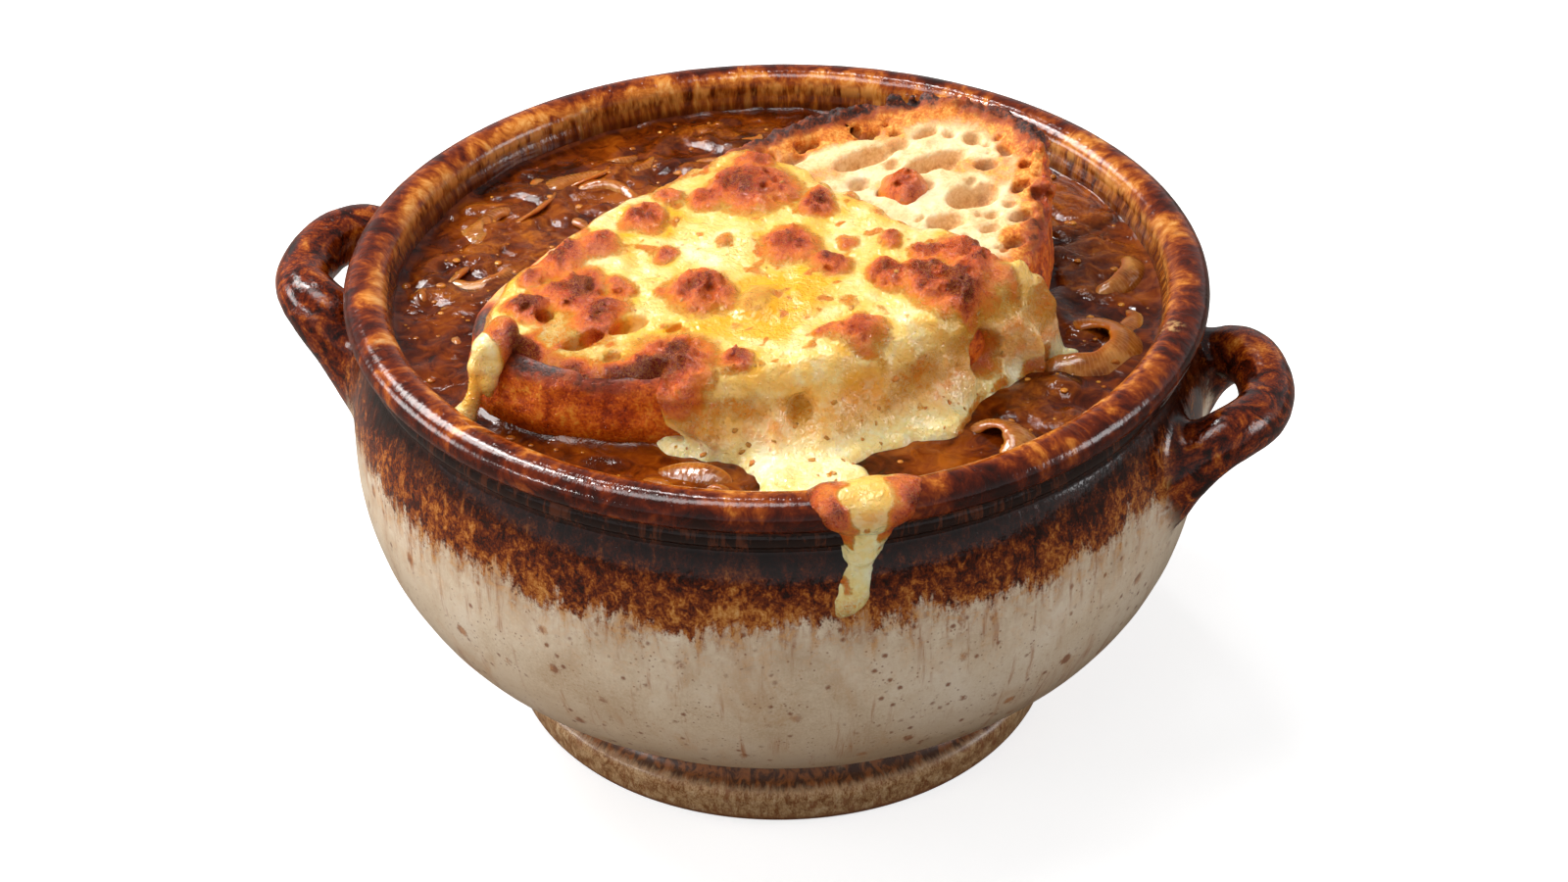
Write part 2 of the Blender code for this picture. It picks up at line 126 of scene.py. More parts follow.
def surface_nets(field, origin, h):
    inside = field < 0
    cells = tuple(n - 1 for n in field.shape)
    count = np.zeros(cells, np.int8)
    for a, b, c in _CORNERS:
        count += inside[a:a + cells[0], b:b + cells[1], c:c + cells[2]]
    active = (count > 0) & (count < 8)
    where = np.argwhere(active)
    ids = np.full(cells, -1, np.int64)
    ids[active] = np.arange(len(where))
    values = np.stack([
        field[where[:, 0] + a, where[:, 1] + b, where[:, 2] + c] for a, b, c in _CORNERS
    ], 1)
    corner = np.array(_CORNERS, float)
    total = np.zeros((len(where), 3))
    crossings = np.zeros(len(where))
    for m, n in _EDGES:
        v0, v1 = values[:, m], values[:, n]
        hit = (v0 < 0) != (v1 < 0)
        t = np.where(hit, v0 / np.where(hit, v0 - v1, 1.0), 0.0)
        p = corner[m] + t[:, None] * (corner[n] - corner[m])
        total += p * hit[:, None]
        crossings += hit
    verts = origin + h * (where + total / crossings[:, None])
    quads = []
    for axis in range(3):
        u, v = [(1, 2), (2, 0), (0, 1)][axis]
        low = [slice(None)] * 3
        high = [slice(None)] * 3
        low[axis] = slice(0, -1)
        high[axis] = slice(1, None)
        a, b = inside[tuple(low)], inside[tuple(high)]
        cross = a != b
        edge = np.argwhere(cross)
        keep = (
            (edge[:, u] > 0) & (edge[:, u] < field.shape[u] - 1)
            & (edge[:, v] > 0) & (edge[:, v] < field.shape[v] - 1)
        )
        edge = edge[keep]
        out = a[edge[:, 0], edge[:, 1], edge[:, 2]]

        def cell(du, dv):
            c = edge.copy()
            c[:, u] += du
            c[:, v] += dv
            return ids[c[:, 0], c[:, 1], c[:, 2]]

        q = np.stack([cell(-1, -1), cell(0, -1), cell(0, 0), cell(-1, 0)], 1)
        q[~out] = q[~out][:, ::-1]
        quads.append(q)
    return verts, np.concatenate(quads)


def gradient(function, p, e=0.05):
    g = np.empty_like(p)
    for t in range(3):
        d = np.zeros(3)
        d[t] = e
        g[:, t] = (function(p + d) - function(p - d)) / (2 * e)
    return g


def project(function, verts, steps=2, limit=0.5):
    for _ in range(steps):
        f = function(verts)
        g = gradient(function, verts)
        n2 = np.maximum((g * g).sum(1), 1e-3)
        move = -(f / n2)[:, None] * g
        length = np.linalg.norm(move, axis=1, keepdims=True)
        verts = verts + move * np.minimum(1.0, limit / np.maximum(length, 1e-9))
    return verts


def sampler(field, origin, h):
    """Trilinear lookup of a field on a grid."""
    top = np.array(field.shape) - 1.001

    def look(p):
        q = np.clip((p - origin) / h, 0.0, top)
        i = q.astype(np.int64)
        f = q - i
        out = 0.0
        for a, b, c in _CORNERS:
            w = (
                (f[:, 0] if a else 1 - f[:, 0])
                * (f[:, 1] if b else 1 - f[:, 1])
                * (f[:, 2] if c else 1 - f[:, 2])
            )
            out = out + w * field[i[:, 0] + a, i[:, 1] + b, i[:, 2] + c]
        return out

    return look


def mesh_object(name, verts, faces, attributes=None, normals=None, material=None):
    """verts in mm; attributes: name -> (N,) floats or (N, 3) vectors."""
    mesh = bpy.data.meshes.new(name)
    faces = np.asarray(faces)
    mesh.vertices.add(len(verts))
    mesh.vertices.foreach_set("co", (np.asarray(verts) * MM).astype(np.float32).ravel())
    mesh.loops.add(faces.size)
    mesh.loops.foreach_set("vertex_index", faces.astype(np.int32).ravel())
    mesh.polygons.add(len(faces))
    side = faces.shape[1]
    mesh.polygons.foreach_set("loop_start", np.arange(0, faces.size, side, dtype=np.int32))
    mesh.update(calc_edges=True)
    mesh.validate()
    mesh.polygons.foreach_set("use_smooth", np.ones(len(mesh.polygons), bool))
    for key, data in (attributes or {}).items():
        data = np.asarray(data, np.float32)
        kind = "FLOAT_VECTOR" if data.ndim == 2 else "FLOAT"
        layer = mesh.attributes.new(key, kind, "POINT")
        layer.data.foreach_set("vector" if data.ndim == 2 else "value", data.ravel())
    if normals is not None:
        mesh.normals_split_custom_set_from_vertices([tuple(n) for n in normals])
    obj = bpy.data.objects.new(name, mesh)
    bpy.context.scene.collection.objects.link(obj)
    if material is not None:
        mesh.materials.append(material)
    return obj


def polyline_table(points, low, high, step, closed=False):
    """Distance and arc length to a polyline in the plane, on a grid."""
    points = np.asarray(points, float)
    if closed:
        points = np.vstack([points, points[:1]])
    a, b = points[:-1], points[1:]
    seg = b - a
    seg2 = np.maximum((seg * seg).sum(1), 1e-12)
    lengths = np.sqrt(seg2)
    start = np.concatenate([[0.0], np.cumsum(lengths)[:-1]])
    xs = np.arange(low[0], high[0] + step, step)
    ys = np.arange(low[1], high[1] + step, step)
    g = np.stack(np.meshgrid(xs, ys, indexing="ij"), -1).reshape(-1, 2)
    best = np.full(len(g), 1e18)
    arc = np.zeros(len(g))
    odd = np.zeros(len(g), bool)
    for k in range(len(a)):
        d = g - a[k]
        t = np.clip((d * seg[k]).sum(1) / seg2[k], 0.0, 1.0)
        e = d - t[:, None] * seg[k]
        dist = (e * e).sum(1)
        near = dist < best
        best[near] = dist[near]
        arc[near] = start[k] + t[near] * lengths[k]
        if closed:
            y = g[:, 1]
            crosses = (a[k, 1] > y) != (b[k, 1] > y)
            if crosses.any():
                x = a[k, 0] + (y - a[k, 1]) / (b[k, 1] - a[k, 1] + 1e-18) * seg[k, 0]
                odd ^= crosses & (g[:, 0] < x)
    dist = np.sqrt(best)
    if closed:
        dist = np.where(odd, -dist, dist)
    return xs, ys, dist.reshape(len(xs), len(ys)), arc.reshape(len(xs), len(ys))


def table_lookup(xs, ys, table):
    x0, y0, step = xs[0], ys[0], xs[1] - xs[0]
    nx, ny = table.shape

    def look(x, y):
        u = np.clip((x - x0) / step, 0, nx - 1.001)
        v = np.clip((y - y0) / step, 0, ny - 1.001)
        i, j = u.astype(np.int64), v.astype(np.int64)
        fu, fv = u - i, v - j
        return (
            table[i, j] * (1 - fu) * (1 - fv) + table[i + 1, j] * fu * (1 - fv)
            + table[i, j + 1] * (1 - fu) * fv + table[i + 1, j + 1] * fu * fv
        )

    return look


# --------------------------------------------------------------------------
# sizes, as in the CAD model
# --------------------------------------------------------------------------
RIM_R, RIM_Z, RIM_A, RIM_B = 71.3, 83.2, 3.8, 3.2
RIDGE_R, RIDGE_Z = 72.9, 78.2
NECK_R, NECK_Z = 71.8, 76.0
BELLY_R, BELLY_Z = 75.4, 54.0
BELLY_CENTRE_R, BELLY_DROP = 40.0, 39.0
WAIST_R, WAIST_Z = 46.3, 12.4
FOOT_R, FOOT_Z, FOOT_IN_R, RECESS_Z = 50.2, 6.2, 41.0, 7.0
LIP_IN_R = 66.8
INNER_R, INNER_Z, FLOOR_R, FLOOR_Z = 68.3, 55.0, 34.0, 18.5
SOUP_Z = 79.0
BREAD_X, BREAD_Y, BREAD_TURN = 4.2, -9.2, math.radians(41.0)
BREAD_A, BREAD_B = 53.0, 30.4
BREAD_Z0, SLOPE_X, SLOPE_Y = 95.9, 0.0076, 0.107
BREAD_THICK = 22.0
HANDLE_ROOT_R = 71.0
HANDLES = (
    (+1.0, 15.0, 16.9, 59.6, 9.2, 3.7, 5.0, 5.9, 0.95),
    (-1.0, 15.6, 14.6, 62.6, 12.0, 4.2, 5.0, 7.0, 0.62),
)


def between(a, b, n):
    return np.linspace(a, b, n)


def bowl_line():
    """Closed half section, from the floor's middle over the rim to the base."""
    line = [(0.0, FLOOR_Z)]
    for t in np.radians(between(90.0, 0.0, 30)):
        line.append((FLOOR_R + (INNER_R - FLOOR_R) * math.cos(t),
                     INNER_Z - (INNER_Z - FLOOR_Z) * math.sin(t)))
    line += [(68.15, 61.0), (67.9, 67.0), (67.55, 71.0), (67.1, 75.0), (66.85, 78.0),
             (66.85, 79.5), (66.95, 81.0)]
    for t in np.radians(between(192.0, -48.0, 52)):
        line.append((RIM_R + RIM_A * math.cos(t), RIM_Z + RIM_B * math.sin(t)))
    line += [(73.1, 80.45), (72.6, 80.05), (72.5, 79.75)]
    for t in np.radians(between(62.0, -55.0, 12)):
        line.append((RIDGE_R - 0.9 + 0.9 * math.cos(t), RIDGE_Z + 1.5 * math.sin(t)))
    for z in between(76.5, BELLY_Z + 0.5, 34):
        k = (min(z, NECK_Z) - BELLY_Z) / (NECK_Z - BELLY_Z)
        line.append((BELLY_R - (BELLY_R - NECK_R) * k ** 3.4, z))
    for t in np.radians(between(0.0, 76.0, 44)):
        line.append((BELLY_CENTRE_R + (BELLY_R - BELLY_CENTRE_R) * math.cos(t),
                     BELLY_Z - BELLY_DROP * math.sin(t)))
    line += [(47.3, 15.0), (46.6, 13.9), (46.3, 12.8), (46.4, 11.7), (46.9, 10.4), (47.6, 9.2)]
    for t in np.radians(between(78.0, -20.0, 12)):
        line.append((FOOT_R - 2.0 + 2.0 * math.cos(t), FOOT_Z + 2.2 * math.sin(t)))
    line += [(49.8, 3.6), (49.5, 1.9), (49.0, 0.9), (48.3, 0.25), (47.6, 0.0),
             (FOOT_IN_R + 0.4, 0.0), (FOOT_IN_R - 0.4, 0.5), (FOOT_IN_R - 1.2, 2.2),
             (FOOT_IN_R - 2.2, 5.4), (FOOT_IN_R - 3.4, RECESS_Z), (0.0, RECESS_Z)]
    return np.array(line)


BOWL_LINE = bowl_line()
_bx, _by, _bd, _bs = polyline_table(BOWL_LINE, (-1.0, -6.0), (95.0, 108.0), 0.3, closed=True)
bowl_dist = table_lookup(_bx, _by, _bd)
bowl_arc = table_lookup(_bx, _by, _bs)
RIM_TOP_ARC = float(bowl_arc(np.array([RIM_R]), np.array([RIM_Z + RIM_B]))[0])


def handle_path(sizes, n=96):
    side, reach, half, wall_z, rise, crown, r_mid, r_root, full = sizes
    t = between(-PI / 2, PI / 2, n)
    out = np.maximum(0.0, np.cos(t)) ** full
    p = np.stack([
        side * (HANDLE_ROOT_R + reach * out),
        half * np.sin(t),
        wall_z + rise * out + crown * 4.0 * out * (1.0 - out),
    ], 1)
    radius = r_mid + (r_root - r_mid) * (1.0 - np.maximum(0.0, np.cos(t))) ** 2
    return p, radius


HANDLE_PATHS = [handle_path(s) for s in HANDLES]


def handle_dist(p, path, radius):
    """Distance to a round tube of varying radius."""
    best = np.full(len(p), 1e9)
    for k in range(len(path) - 1):
        a, b = path[k], path[k + 1]
        seg = b - a
        d = p - a
        t = np.clip(d @ seg / (seg @ seg), 0.0, 1.0)
        e = d - t[:, None] * seg
        r = radius[k] + (radius[k + 1] - radius[k]) * t
        best = np.minimum(best, np.sqrt((e * e).sum(1)) - r)
    return best


def blob(p, centre, half, turn=0.0):
    """Rough distance to an ellipsoid turned about Z."""
    d = p - np.asarray(centre)
    c, s = math.cos(turn), math.sin(turn)
    x = d[:, 0] * c + d[:, 1] * s
    y = -d[:, 0] * s + d[:, 1] * c
    q = np.stack([x, y, d[:, 2]], 1) / np.asarray(half)
    k = np.linalg.norm(q, axis=1)
    return (k - 1.0) * min(half)


def bowl_plain(p):
    r = np.hypot(p[:, 0], p[:, 1])
    return bowl_dist(r, p[:, 2])


def refine(c, ratio):
    for axis in range(3):
        n = c.shape[axis]
        t = np.arange((n - 1) * ratio + 1) / ratio
        i = np.minimum(t.astype(np.int64), n - 2)
        shape = [1, 1, 1]
        shape[axis] = len(t)
        f = (t - i).astype(np.float32).reshape(shape)
        c = np.take(c, i, axis) * (1 - f) + np.take(c, i + 1, axis) * f
    return c


def evaluate(function, low, high, h, ratio=4, reach=1.2):
    """A field on a fine grid, worked out exactly only near its surface."""
    big = h * ratio
    axes = [low[t] + big * np.arange(int(math.ceil((high[t] - low[t]) / big)) + 1) for t in range(3)]
    g = np.stack(np.meshgrid(*axes, indexing="ij"), -1)
    coarse = function(g.reshape(-1, 3)).reshape(g.shape[:3]).astype(np.float32)
    near = np.abs(coarse) < reach * big + 0.4
    n = coarse.shape
    cell = np.zeros((n[0] - 1, n[1] - 1, n[2] - 1), bool)
    for a, b, c in _CORNERS:
        cell |= near[a:a + n[0] - 1, b:b + n[1] - 1, c:c + n[2] - 1]
    fine = refine(coarse, ratio)
    cell = cell.repeat(ratio, 0).repeat(ratio, 1).repeat(ratio, 2)
    m = cell.shape
    mark = np.zeros(fine.shape, bool)
    for a, b, c in _CORNERS:
        mark[a:a + m[0], b:b + m[1], c:c + m[2]] |= cell
    where = np.argwhere(mark)
    origin = np.array([a[0] for a in axes])
    values = np.empty(len(where), np.float32)
    for k in range(0, len(where), 300000):
        values[k:k + 300000] = function(origin + h * where[k:k + 300000])
    fine[mark] = values
    return fine, origin


def turned_out(verts, faces):
    """Faces with their normals pointing out of the closed shape."""
    a, b, c = verts[faces[:, 0]], verts[faces[:, 1]], verts[faces[:, 2]]
    volume = (a * np.cross(b, c)).sum()
    if faces.shape[1] == 4:
        volume += (a * np.cross(c, verts[faces[:, 3]])).sum()
    return faces if volume > 0 else faces[:, ::-1]


def carve(function, low, high, h, steps=1):
    field, origin = evaluate(function, low, high, h)
    verts, faces = surface_nets(field, origin, h)
    verts = project(function, verts, steps, 0.35 * h)
    return verts, turned_out(verts, faces)


def shown(obj, node=None):
    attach(obj, "root")
    if node:
        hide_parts(node)
    return obj


# --------------------------------------------------------------------------
# material helper
# --------------------------------------------------------------------------
def srgb(r, g, b):
    out = []
    for c in (r, g, b):
        c = c / 255.0
        out.append(c / 12.92 if c <= 0.04045 else ((c + 0.055) / 1.055) ** 2.4)
    return (*out, 1.0)


class Nodes:
    def __init__(self, name):
        self.material = bpy.data.materials.new(name)
        self.material.use_nodes = True
        self.tree = self.material.node_tree
        self.tree.nodes.clear()
        self.output = self.tree.nodes.new("ShaderNodeOutputMaterial")
        self.coords = self.tree.nodes.new("ShaderNodeTexCoord").outputs["Object"]

    def node(self, kind, **settings):
        n = self.tree.nodes.new(kind)
        for key, value in settings.items():
            setattr(n, key, value)
        return n

    def put(self, socket, value):
        if isinstance(value, bpy.types.NodeSocket):
            self.tree.links.new(value, socket)
        elif value is not None:
            socket.default_value = value

    def math(self, op, a, b=None, c=None, clamp=False):
        n = self.node("ShaderNodeMath", operation=op, use_clamp=clamp)
        for k, value in enumerate((a, b, c)):
            self.put(n.inputs[k], value)
        return n.outputs[0]

    def add(self, a, b):
        return self.math("ADD", a, b)

    def sub(self, a, b):
        return self.math("SUBTRACT", a, b)

    def mul(self, a, b):
        return self.math("MULTIPLY", a, b)

    def top(self, a, b):
        return self.math("MAXIMUM", a, b)

    def low(self, a, b):
        return self.math("MINIMUM", a, b)

    def step(self, x, a, b, lo=0.0, hi=1.0):
        n = self.node("ShaderNodeMapRange", interpolation_type="SMOOTHSTEP", clamp=True)
        for key, value in zip((0, 1, 2, 3, 4), (x, a, b, lo, hi)):
            self.put(n.inputs[key], value)
        return n.outputs[0]

    def attr(self, name, vector=False):
        n = self.node("ShaderNodeAttribute", attribute_name=name)
        return n.outputs["Vector" if vector else "Fac"]

    def scaled(self, vector, scale):
        n = self.node("ShaderNodeVectorMath", operation="MULTIPLY")
        self.put(n.inputs[0], vector)
        self.put(n.inputs[1], scale)
        return n.outputs[0]

    def noise(self, vector, scale=1.0, detail=3.0, rough=0.55, distort=0.0):
        """Scale in cells per mm when the vector is in mm."""
        n = self.node("ShaderNodeTexNoise")
        self.put(n.inputs["Vector"], vector)
        self.put(n.inputs["Scale"], scale)
        self.put(n.inputs["Detail"], detail)
        self.put(n.inputs["Roughness"], rough)
        self.put(n.inputs["Distortion"], distort)
        return n.outputs["Fac"]

    def cells(self, vector, scale=1.0, feature="F1", random=1.0):
        n = self.node("ShaderNodeTexVoronoi", feature=feature)
        self.put(n.inputs["Vector"], vector)
        self.put(n.inputs["Scale"], scale)
        self.put(n.inputs["Randomness"], random)
        return n.outputs["Distance"]

    def ramp(self, x, stops, kind="LINEAR"):
        n = self.node("ShaderNodeValToRGB")
        self.put(n.inputs[0], x)
        ramp = n.color_ramp
        ramp.interpolation = kind
        while len(ramp.elements) > 1:
            ramp.elements.remove(ramp.elements[-1])
        ramp.elements[0].position = stops[0][0]
        ramp.elements[0].color = stops[0][1]
        for at, colour in stops[1:]:
            ramp.elements.new(at).color = colour
        return n.outputs[0]

    def mix(self, t, a, b, blend="MIX"):
        n = self.node("ShaderNodeMix", data_type="RGBA", blend_type=blend)
        self.put(n.inputs[0], t)
        self.put(n.inputs[6], a)
        self.put(n.inputs[7], b)
        return n.outputs[2]

    def blend(self, t, a, b):
        n = self.node("ShaderNodeMix", data_type="FLOAT")
        self.put(n.inputs[0], t)
        self.put(n.inputs[2], a)
        self.put(n.inputs[3], b)
        return n.outputs[0]

    def bump(self, height, distance_mm, strength=1.0, normal=None):
        n = self.node("ShaderNodeBump")
        self.put(n.inputs["Height"], height)
        self.put(n.inputs["Distance"], distance_mm * MM)
        self.put(n.inputs["Strength"], strength)
        if normal is not None:
            self.put(n.inputs["Normal"], normal)
        return n.outputs[0]

    def finish(self, **inputs):
        n = self.node("ShaderNodeBsdfPrincipled")
        n.subsurface_method = "RANDOM_WALK"
        for key, value in inputs.items():
            self.put(n.inputs[key.replace("_", " ")], value)
        self.tree.links.new(n.outputs[0], self.output.inputs["Surface"])
        return self.material


# --------------------------------------------------------------------------
# glaze
# --------------------------------------------------------------------------
def glaze_material():
    m = Nodes("stoneware_glaze")
    mm = m.scaled(m.coords, (1000.0, 1000.0, 1000.0))
    gl = m.attr("gl", True)
    arc = m.attr("arc")
    handle = m.attr("hm")
    sep = m.node("ShaderNodeSeparateXYZ")
    m.put(sep.inputs[0], mm)
    z = sep.outputs[2]

    streak = m.noise(m.scaled(gl, (1.0, 1.0, 0.20)), 0.62, 4.0, 0.62, 0.4)
    drawn = m.noise(m.scaled(gl, (1.0, 1.0, 0.80)), 0.26, 5.0, 0.68, 1.3)
    wide = m.noise(m.scaled(gl, (1.0, 1.0, 0.9)), 0.10, 3.0, 0.55, 0.8)
    mottle = m.noise(gl, 0.42, 5.0, 0.62, 0.8)
    grain = m.noise(gl, 2.3, 3.0, 0.6)

    # amber and dark brown of the thick glaze
    amount = m.add(m.mul(drawn, 0.42), m.add(m.mul(wide, 0.60), m.add(m.mul(mottle, 0.16), m.mul(streak, 0.10))))
    amount = m.add(amount, m.sub(m.mul(m.step(arc, 0.4, -2.6), 0.075), m.mul(m.step(arc, 1.0, 5.0), 0.055)))
    rim = m.ramp(amount, [
        (0.47, srgb(36, 9, 2)), (0.56, srgb(66, 17, 2)), (0.63, srgb(98, 32, 4)),
        (0.70, srgb(144, 64, 12)), (0.77, srgb(196, 116, 40)), (0.86, srgb(224, 168, 94)),
    ])
    patch = m.step(m.noise(m.scaled(gl, (1.0, 1.0, 0.7)), 0.085, 2.0, 0.5, 0.4), 0.63, 0.72)
    rim = m.mix(m.mul(patch, m.step(m.noise(gl, 0.6, 3.0, 0.6), 0.45, 0.62)), rim, srgb(205, 160, 104))

    # handles: darker, with amber where the glaze ran thin
    worn = m.noise(mm, 0.22, 4.0, 0.62, 1.2)
    grip = m.ramp(m.add(m.mul(worn, 0.75), m.mul(grain, 0.25)), [
        (0.38, srgb(26, 6, 1)), (0.46, srgb(70, 18, 2)), (0.53, srgb(112, 38, 5)),
        (0.60, srgb(160, 76, 16)), (0.68, srgb(196, 122, 48)), (0.80, srgb(212, 156, 92)),
    ])

    # band below the neck, fringed at its lower edge
    fringe = m.noise(m.scaled(gl, (1.0, 1.0, 0.42)), 0.26, 5.0, 0.70, 0.4)
    fringe2 = m.noise(m.scaled(gl, (1.0, 1.0, 0.30)), 0.95, 3.0, 0.7, 0.2)
    slow = m.noise(m.scaled(gl, (1.0, 1.0, 0.0)), 0.035, 2.0, 0.5)
    edge = m.add(62.6, m.add(m.mul(m.sub(fringe, 0.5), 15.0), m.add(
        m.mul(m.sub(fringe2, 0.5), 9.0), m.add(m.mul(m.sub(slow, 0.5), 10.0), m.mul(m.sub(grain, 0.5), 5.0)))))
    height = m.sub(z, edge)
    solid = m.step(height, -1.2, 1.6)
    halo = m.top(
        m.step(m.add(height, m.mul(m.sub(streak, 0.5), 12.0)), -8.0, 1.0),
        m.mul(m.step(m.add(height, m.mul(m.sub(fringe, 0.5), 26.0)), -20.0, 0.0), 0.42))
    rough_mottle = m.noise(m.scaled(gl, (1.0, 1.0, 0.75)), 0.62, 6.0, 0.74, 0.6)
    band_tone = m.add(m.mul(rough_mottle, 0.66), m.add(m.mul(streak, 0.14), m.mul(grain, 0.24)))
    band_tone = m.add(band_tone, m.add(m.mul(m.sub(wide, 0.5), 0.35), m.step(z, 74.0, 61.0, -0.02, 0.075)))
    band = m.ramp(band_tone, [
        (0.42, srgb(34, 8, 1)), (0.49, srgb(70, 20, 2)), (0.55, srgb(112, 44, 6)),
        (0.61, srgb(162, 86, 24)), (0.68, srgb(196, 132, 62)), (0.80, srgb(216, 170, 110)),
    ])
    dark_band = m.ramp(band_tone, [
        (0.44, srgb(22, 7, 3)), (0.56, srgb(50, 17, 6)), (0.68, srgb(92, 40, 14)), (0.82, srgb(140, 76, 34)),
    ])
    band = m.mix(m.step(z, 69.0, 75.5), band, dark_band)

    # cream body with rusty specks, runs and faint rings, and painted shade towards its bottom
    cloud = m.noise(gl, 0.05, 4.0, 0.6, 0.4)
    cream = m.ramp(m.add(m.mul(cloud, 0.7), m.mul(grain, 0.3)), [
        (0.36, srgb(200, 176, 146)), (0.50, srgb(224, 206, 180)), (0.64, srgb(236, 223, 203)),
    ])
    # painted shade: the cream is darkened towards the bottom of the belly, which turns down and away from the lights
    lower_belly_shade = m.step(z, 18.0, 58.0, 0.85, 0.0)
    cream = m.mix(lower_belly_shade, cream, srgb(170, 138, 104))
    rust_run = m.noise(m.scaled(gl, (1.0, 1.0, 0.10)), 0.42, 4.0, 0.7, 0.1)
    run_mask = m.mul(m.step(rust_run, 0.54, 0.72), m.step(m.noise(gl, 0.07, 2.0, 0.5), 0.36, 0.58))
    cream = m.mix(m.mul(run_mask, 0.82), cream, srgb(160, 92, 42))
    cream = m.mix(m.mul(m.step(m.noise(m.scaled(gl, (1.0, 1.0, 0.55)), 0.10, 4.0, 0.7, 0.6), 0.52, 0.72), 0.42), cream, srgb(186, 138, 88))
    cream = m.mix(m.mul(m.step(m.noise(gl, 0.9, 4.0, 0.7), 0.58, 0.72), 0.45), cream, srgb(168, 112, 64))
    spots = m.cells(gl, 0.34)
    pick = m.noise(m.scaled(gl, (1.0, 1.0, 1.0)), 0.17, 2.0, 0.5)
    speck = m.mul(m.step(m.add(spots, m.mul(m.sub(grain, 0.5), 0.16)), 0.24, 0.07), m.step(pick, 0.40, 0.54))
    blots = m.add(m.cells(gl, 0.125), m.add(m.mul(m.sub(mottle, 0.5), 0.22), m.mul(m.sub(grain, 0.5), 0.12)))
    blot = m.mul(m.step(blots, 0.20, 0.10), m.step(m.noise(gl, 0.06, 2.0, 0.5), 0.36, 0.50))
    cream = m.mix(m.mul(blot, 0.8), cream, m.mix(m.step(mottle, 0.40, 0.60), srgb(128, 62, 20), srgb(176, 112, 58)))
    fine = m.mul(m.step(m.cells(gl, 0.95), 0.27, 0.10), m.step(m.noise(gl, 0.26, 2.0, 0.5), 0.46, 0.58))
    cream = m.mix(m.mul(m.top(speck, m.mul(fine, 0.75)), 0.85), cream, srgb(122, 56, 16))
    halo_tone = m.step(m.add(m.mul(mottle, 0.45), m.add(m.mul(streak, 0.25), m.mul(grain, 0.3))), 0.42, 0.58)
    halo_colour = m.mix(m.step(mottle, 0.44, 0.60), srgb(150, 78, 26), srgb(200, 144, 84))
    cream = m.mix(m.mul(halo, m.mul(halo_tone, 0.9)), cream, halo_colour)
    body = m.mix(solid, cream, band)

    # neck: near-black brown, and the dark line in the groove above the foot
    neck = m.mix(m.step(streak, 0.48, 0.66), srgb(30, 11, 5), srgb(84, 40, 20))
    body = m.mix(m.step(m.add(z, m.mul(mottle, 1.6)), 76.2, 77.6), body, neck)
    body = m.mix(m.step(m.add(z, m.mul(m.sub(mottle, 0.5), 3.0)), 79.6, 80.6), body, rim)
    groove = m.mul(
        m.step(m.add(z, m.mul(m.sub(fringe, 0.5), 5.0)), 12.6, 10.4),
        m.step(m.add(z, m.mul(m.sub(fringe2, 0.5), 2.0)), 7.4, 8.6),
    )
    groove_tone = m.mix(m.step(mottle, 0.42, 0.62), srgb(54, 17, 4), srgb(140, 78, 32))
    body = m.mix(m.mul(groove, 0.92), body, groove_tone)
    foot = m.ramp(m.add(m.mul(mottle, 0.6), m.mul(grain, 0.4)), [
        (0.40, srgb(128, 80, 42)), (0.52, srgb(184, 144, 100)), (0.66, srgb(212, 184, 146)),
    ])
    foot = m.mix(m.mul(m.step(m.noise(m.scaled(gl, (1.0, 1.0, 0.5)), 0.55, 4.0, 0.7), 0.50, 0.66), 0.75), foot, srgb(132, 72, 34))
    foot = m.mix(m.step(m.add(z, m.mul(m.sub(fringe2, 0.5), 2.4)), 2.6, 1.0), foot, srgb(138, 82, 42))
    body = m.mix(m.step(m.add(z, m.mul(m.sub(fringe2, 0.5), 1.4)), 8.4, 7.2), body, foot)

    # inside wall, with painted shade on its left side
    inner_tone = m.add(m.mul(m.noise(m.scaled(gl, (1.0, 1.0, 0.22)), 0.55, 4.0, 0.6, 0.5), 0.7), m.mul(wide, 0.3))
    inside = m.ramp(inner_tone, [
        (0.38, srgb(58, 20, 3)), (0.46, srgb(118, 54, 10)), (0.53, srgb(172, 98, 28)),
        (0.61, srgb(208, 142, 60)), (0.72, srgb(226, 176, 100)),
    ])
    # darker towards the broth line
    inside = m.mix(m.step(m.add(z, m.mul(m.sub(streak, 0.5), 9.0)), 84.0, 79.0, 0.0, 0.72), inside, srgb(74, 27, 4))
    # painted shade: the inner wall is darkened towards -X, the left side, which faces away from the key light
    inside = m.mix(m.step(sep.outputs[0], 5.0, -55.0, 0.0, 0.45), inside, srgb(70, 26, 6))
    lip = m.mul(m.step(arc, -6.8, -5.4), m.step(arc, -3.6, -4.6))
    dashes = m.step(m.noise(m.scaled(gl, (1.0, 1.0, 0.3)), 0.5, 3.0, 0.6), 0.42, 0.58)
    inside = m.mix(m.mul(lip, m.mul(dashes, 0.8)), inside, srgb(214, 150, 72))
    body = m.mix(m.step(m.add(arc, m.mul(m.sub(streak, 0.5), 3.5)), -3.4, -5.2), body, inside)
    body = m.mix(handle, body, grip)

    unglazed = m.step(z, 0.9, 0.2)
    body = m.mix(unglazed, body, srgb(150, 104, 68))
    thick = m.top(m.top(solid, m.step(z, 75.0, 77.0)), handle)
    rough = m.blend(thick, m.add(0.22, m.mul(grain, 0.18)), m.add(0.09, m.mul(grain, 0.08)))
    rough = m.blend(unglazed, rough, 0.75)
    skin = m.add(m.mul(m.noise(gl, 1.1, 3.0, 0.6), 0.6), m.mul(m.noise(gl, 0.35, 2.0, 0.5), 1.0))
    bump = m.bump(skin, 0.10, 0.5)
    drips = m.bump(m.mul(streak, thick), 0.22, 0.6, bump)
    pits = m.bump(m.step(m.cells(gl, 0.8), 0.10, 0.02), -0.12, 0.6, drips)
    return m.finish(Base_Color=body, Roughness=rough, IOR=1.5, Normal=pits)


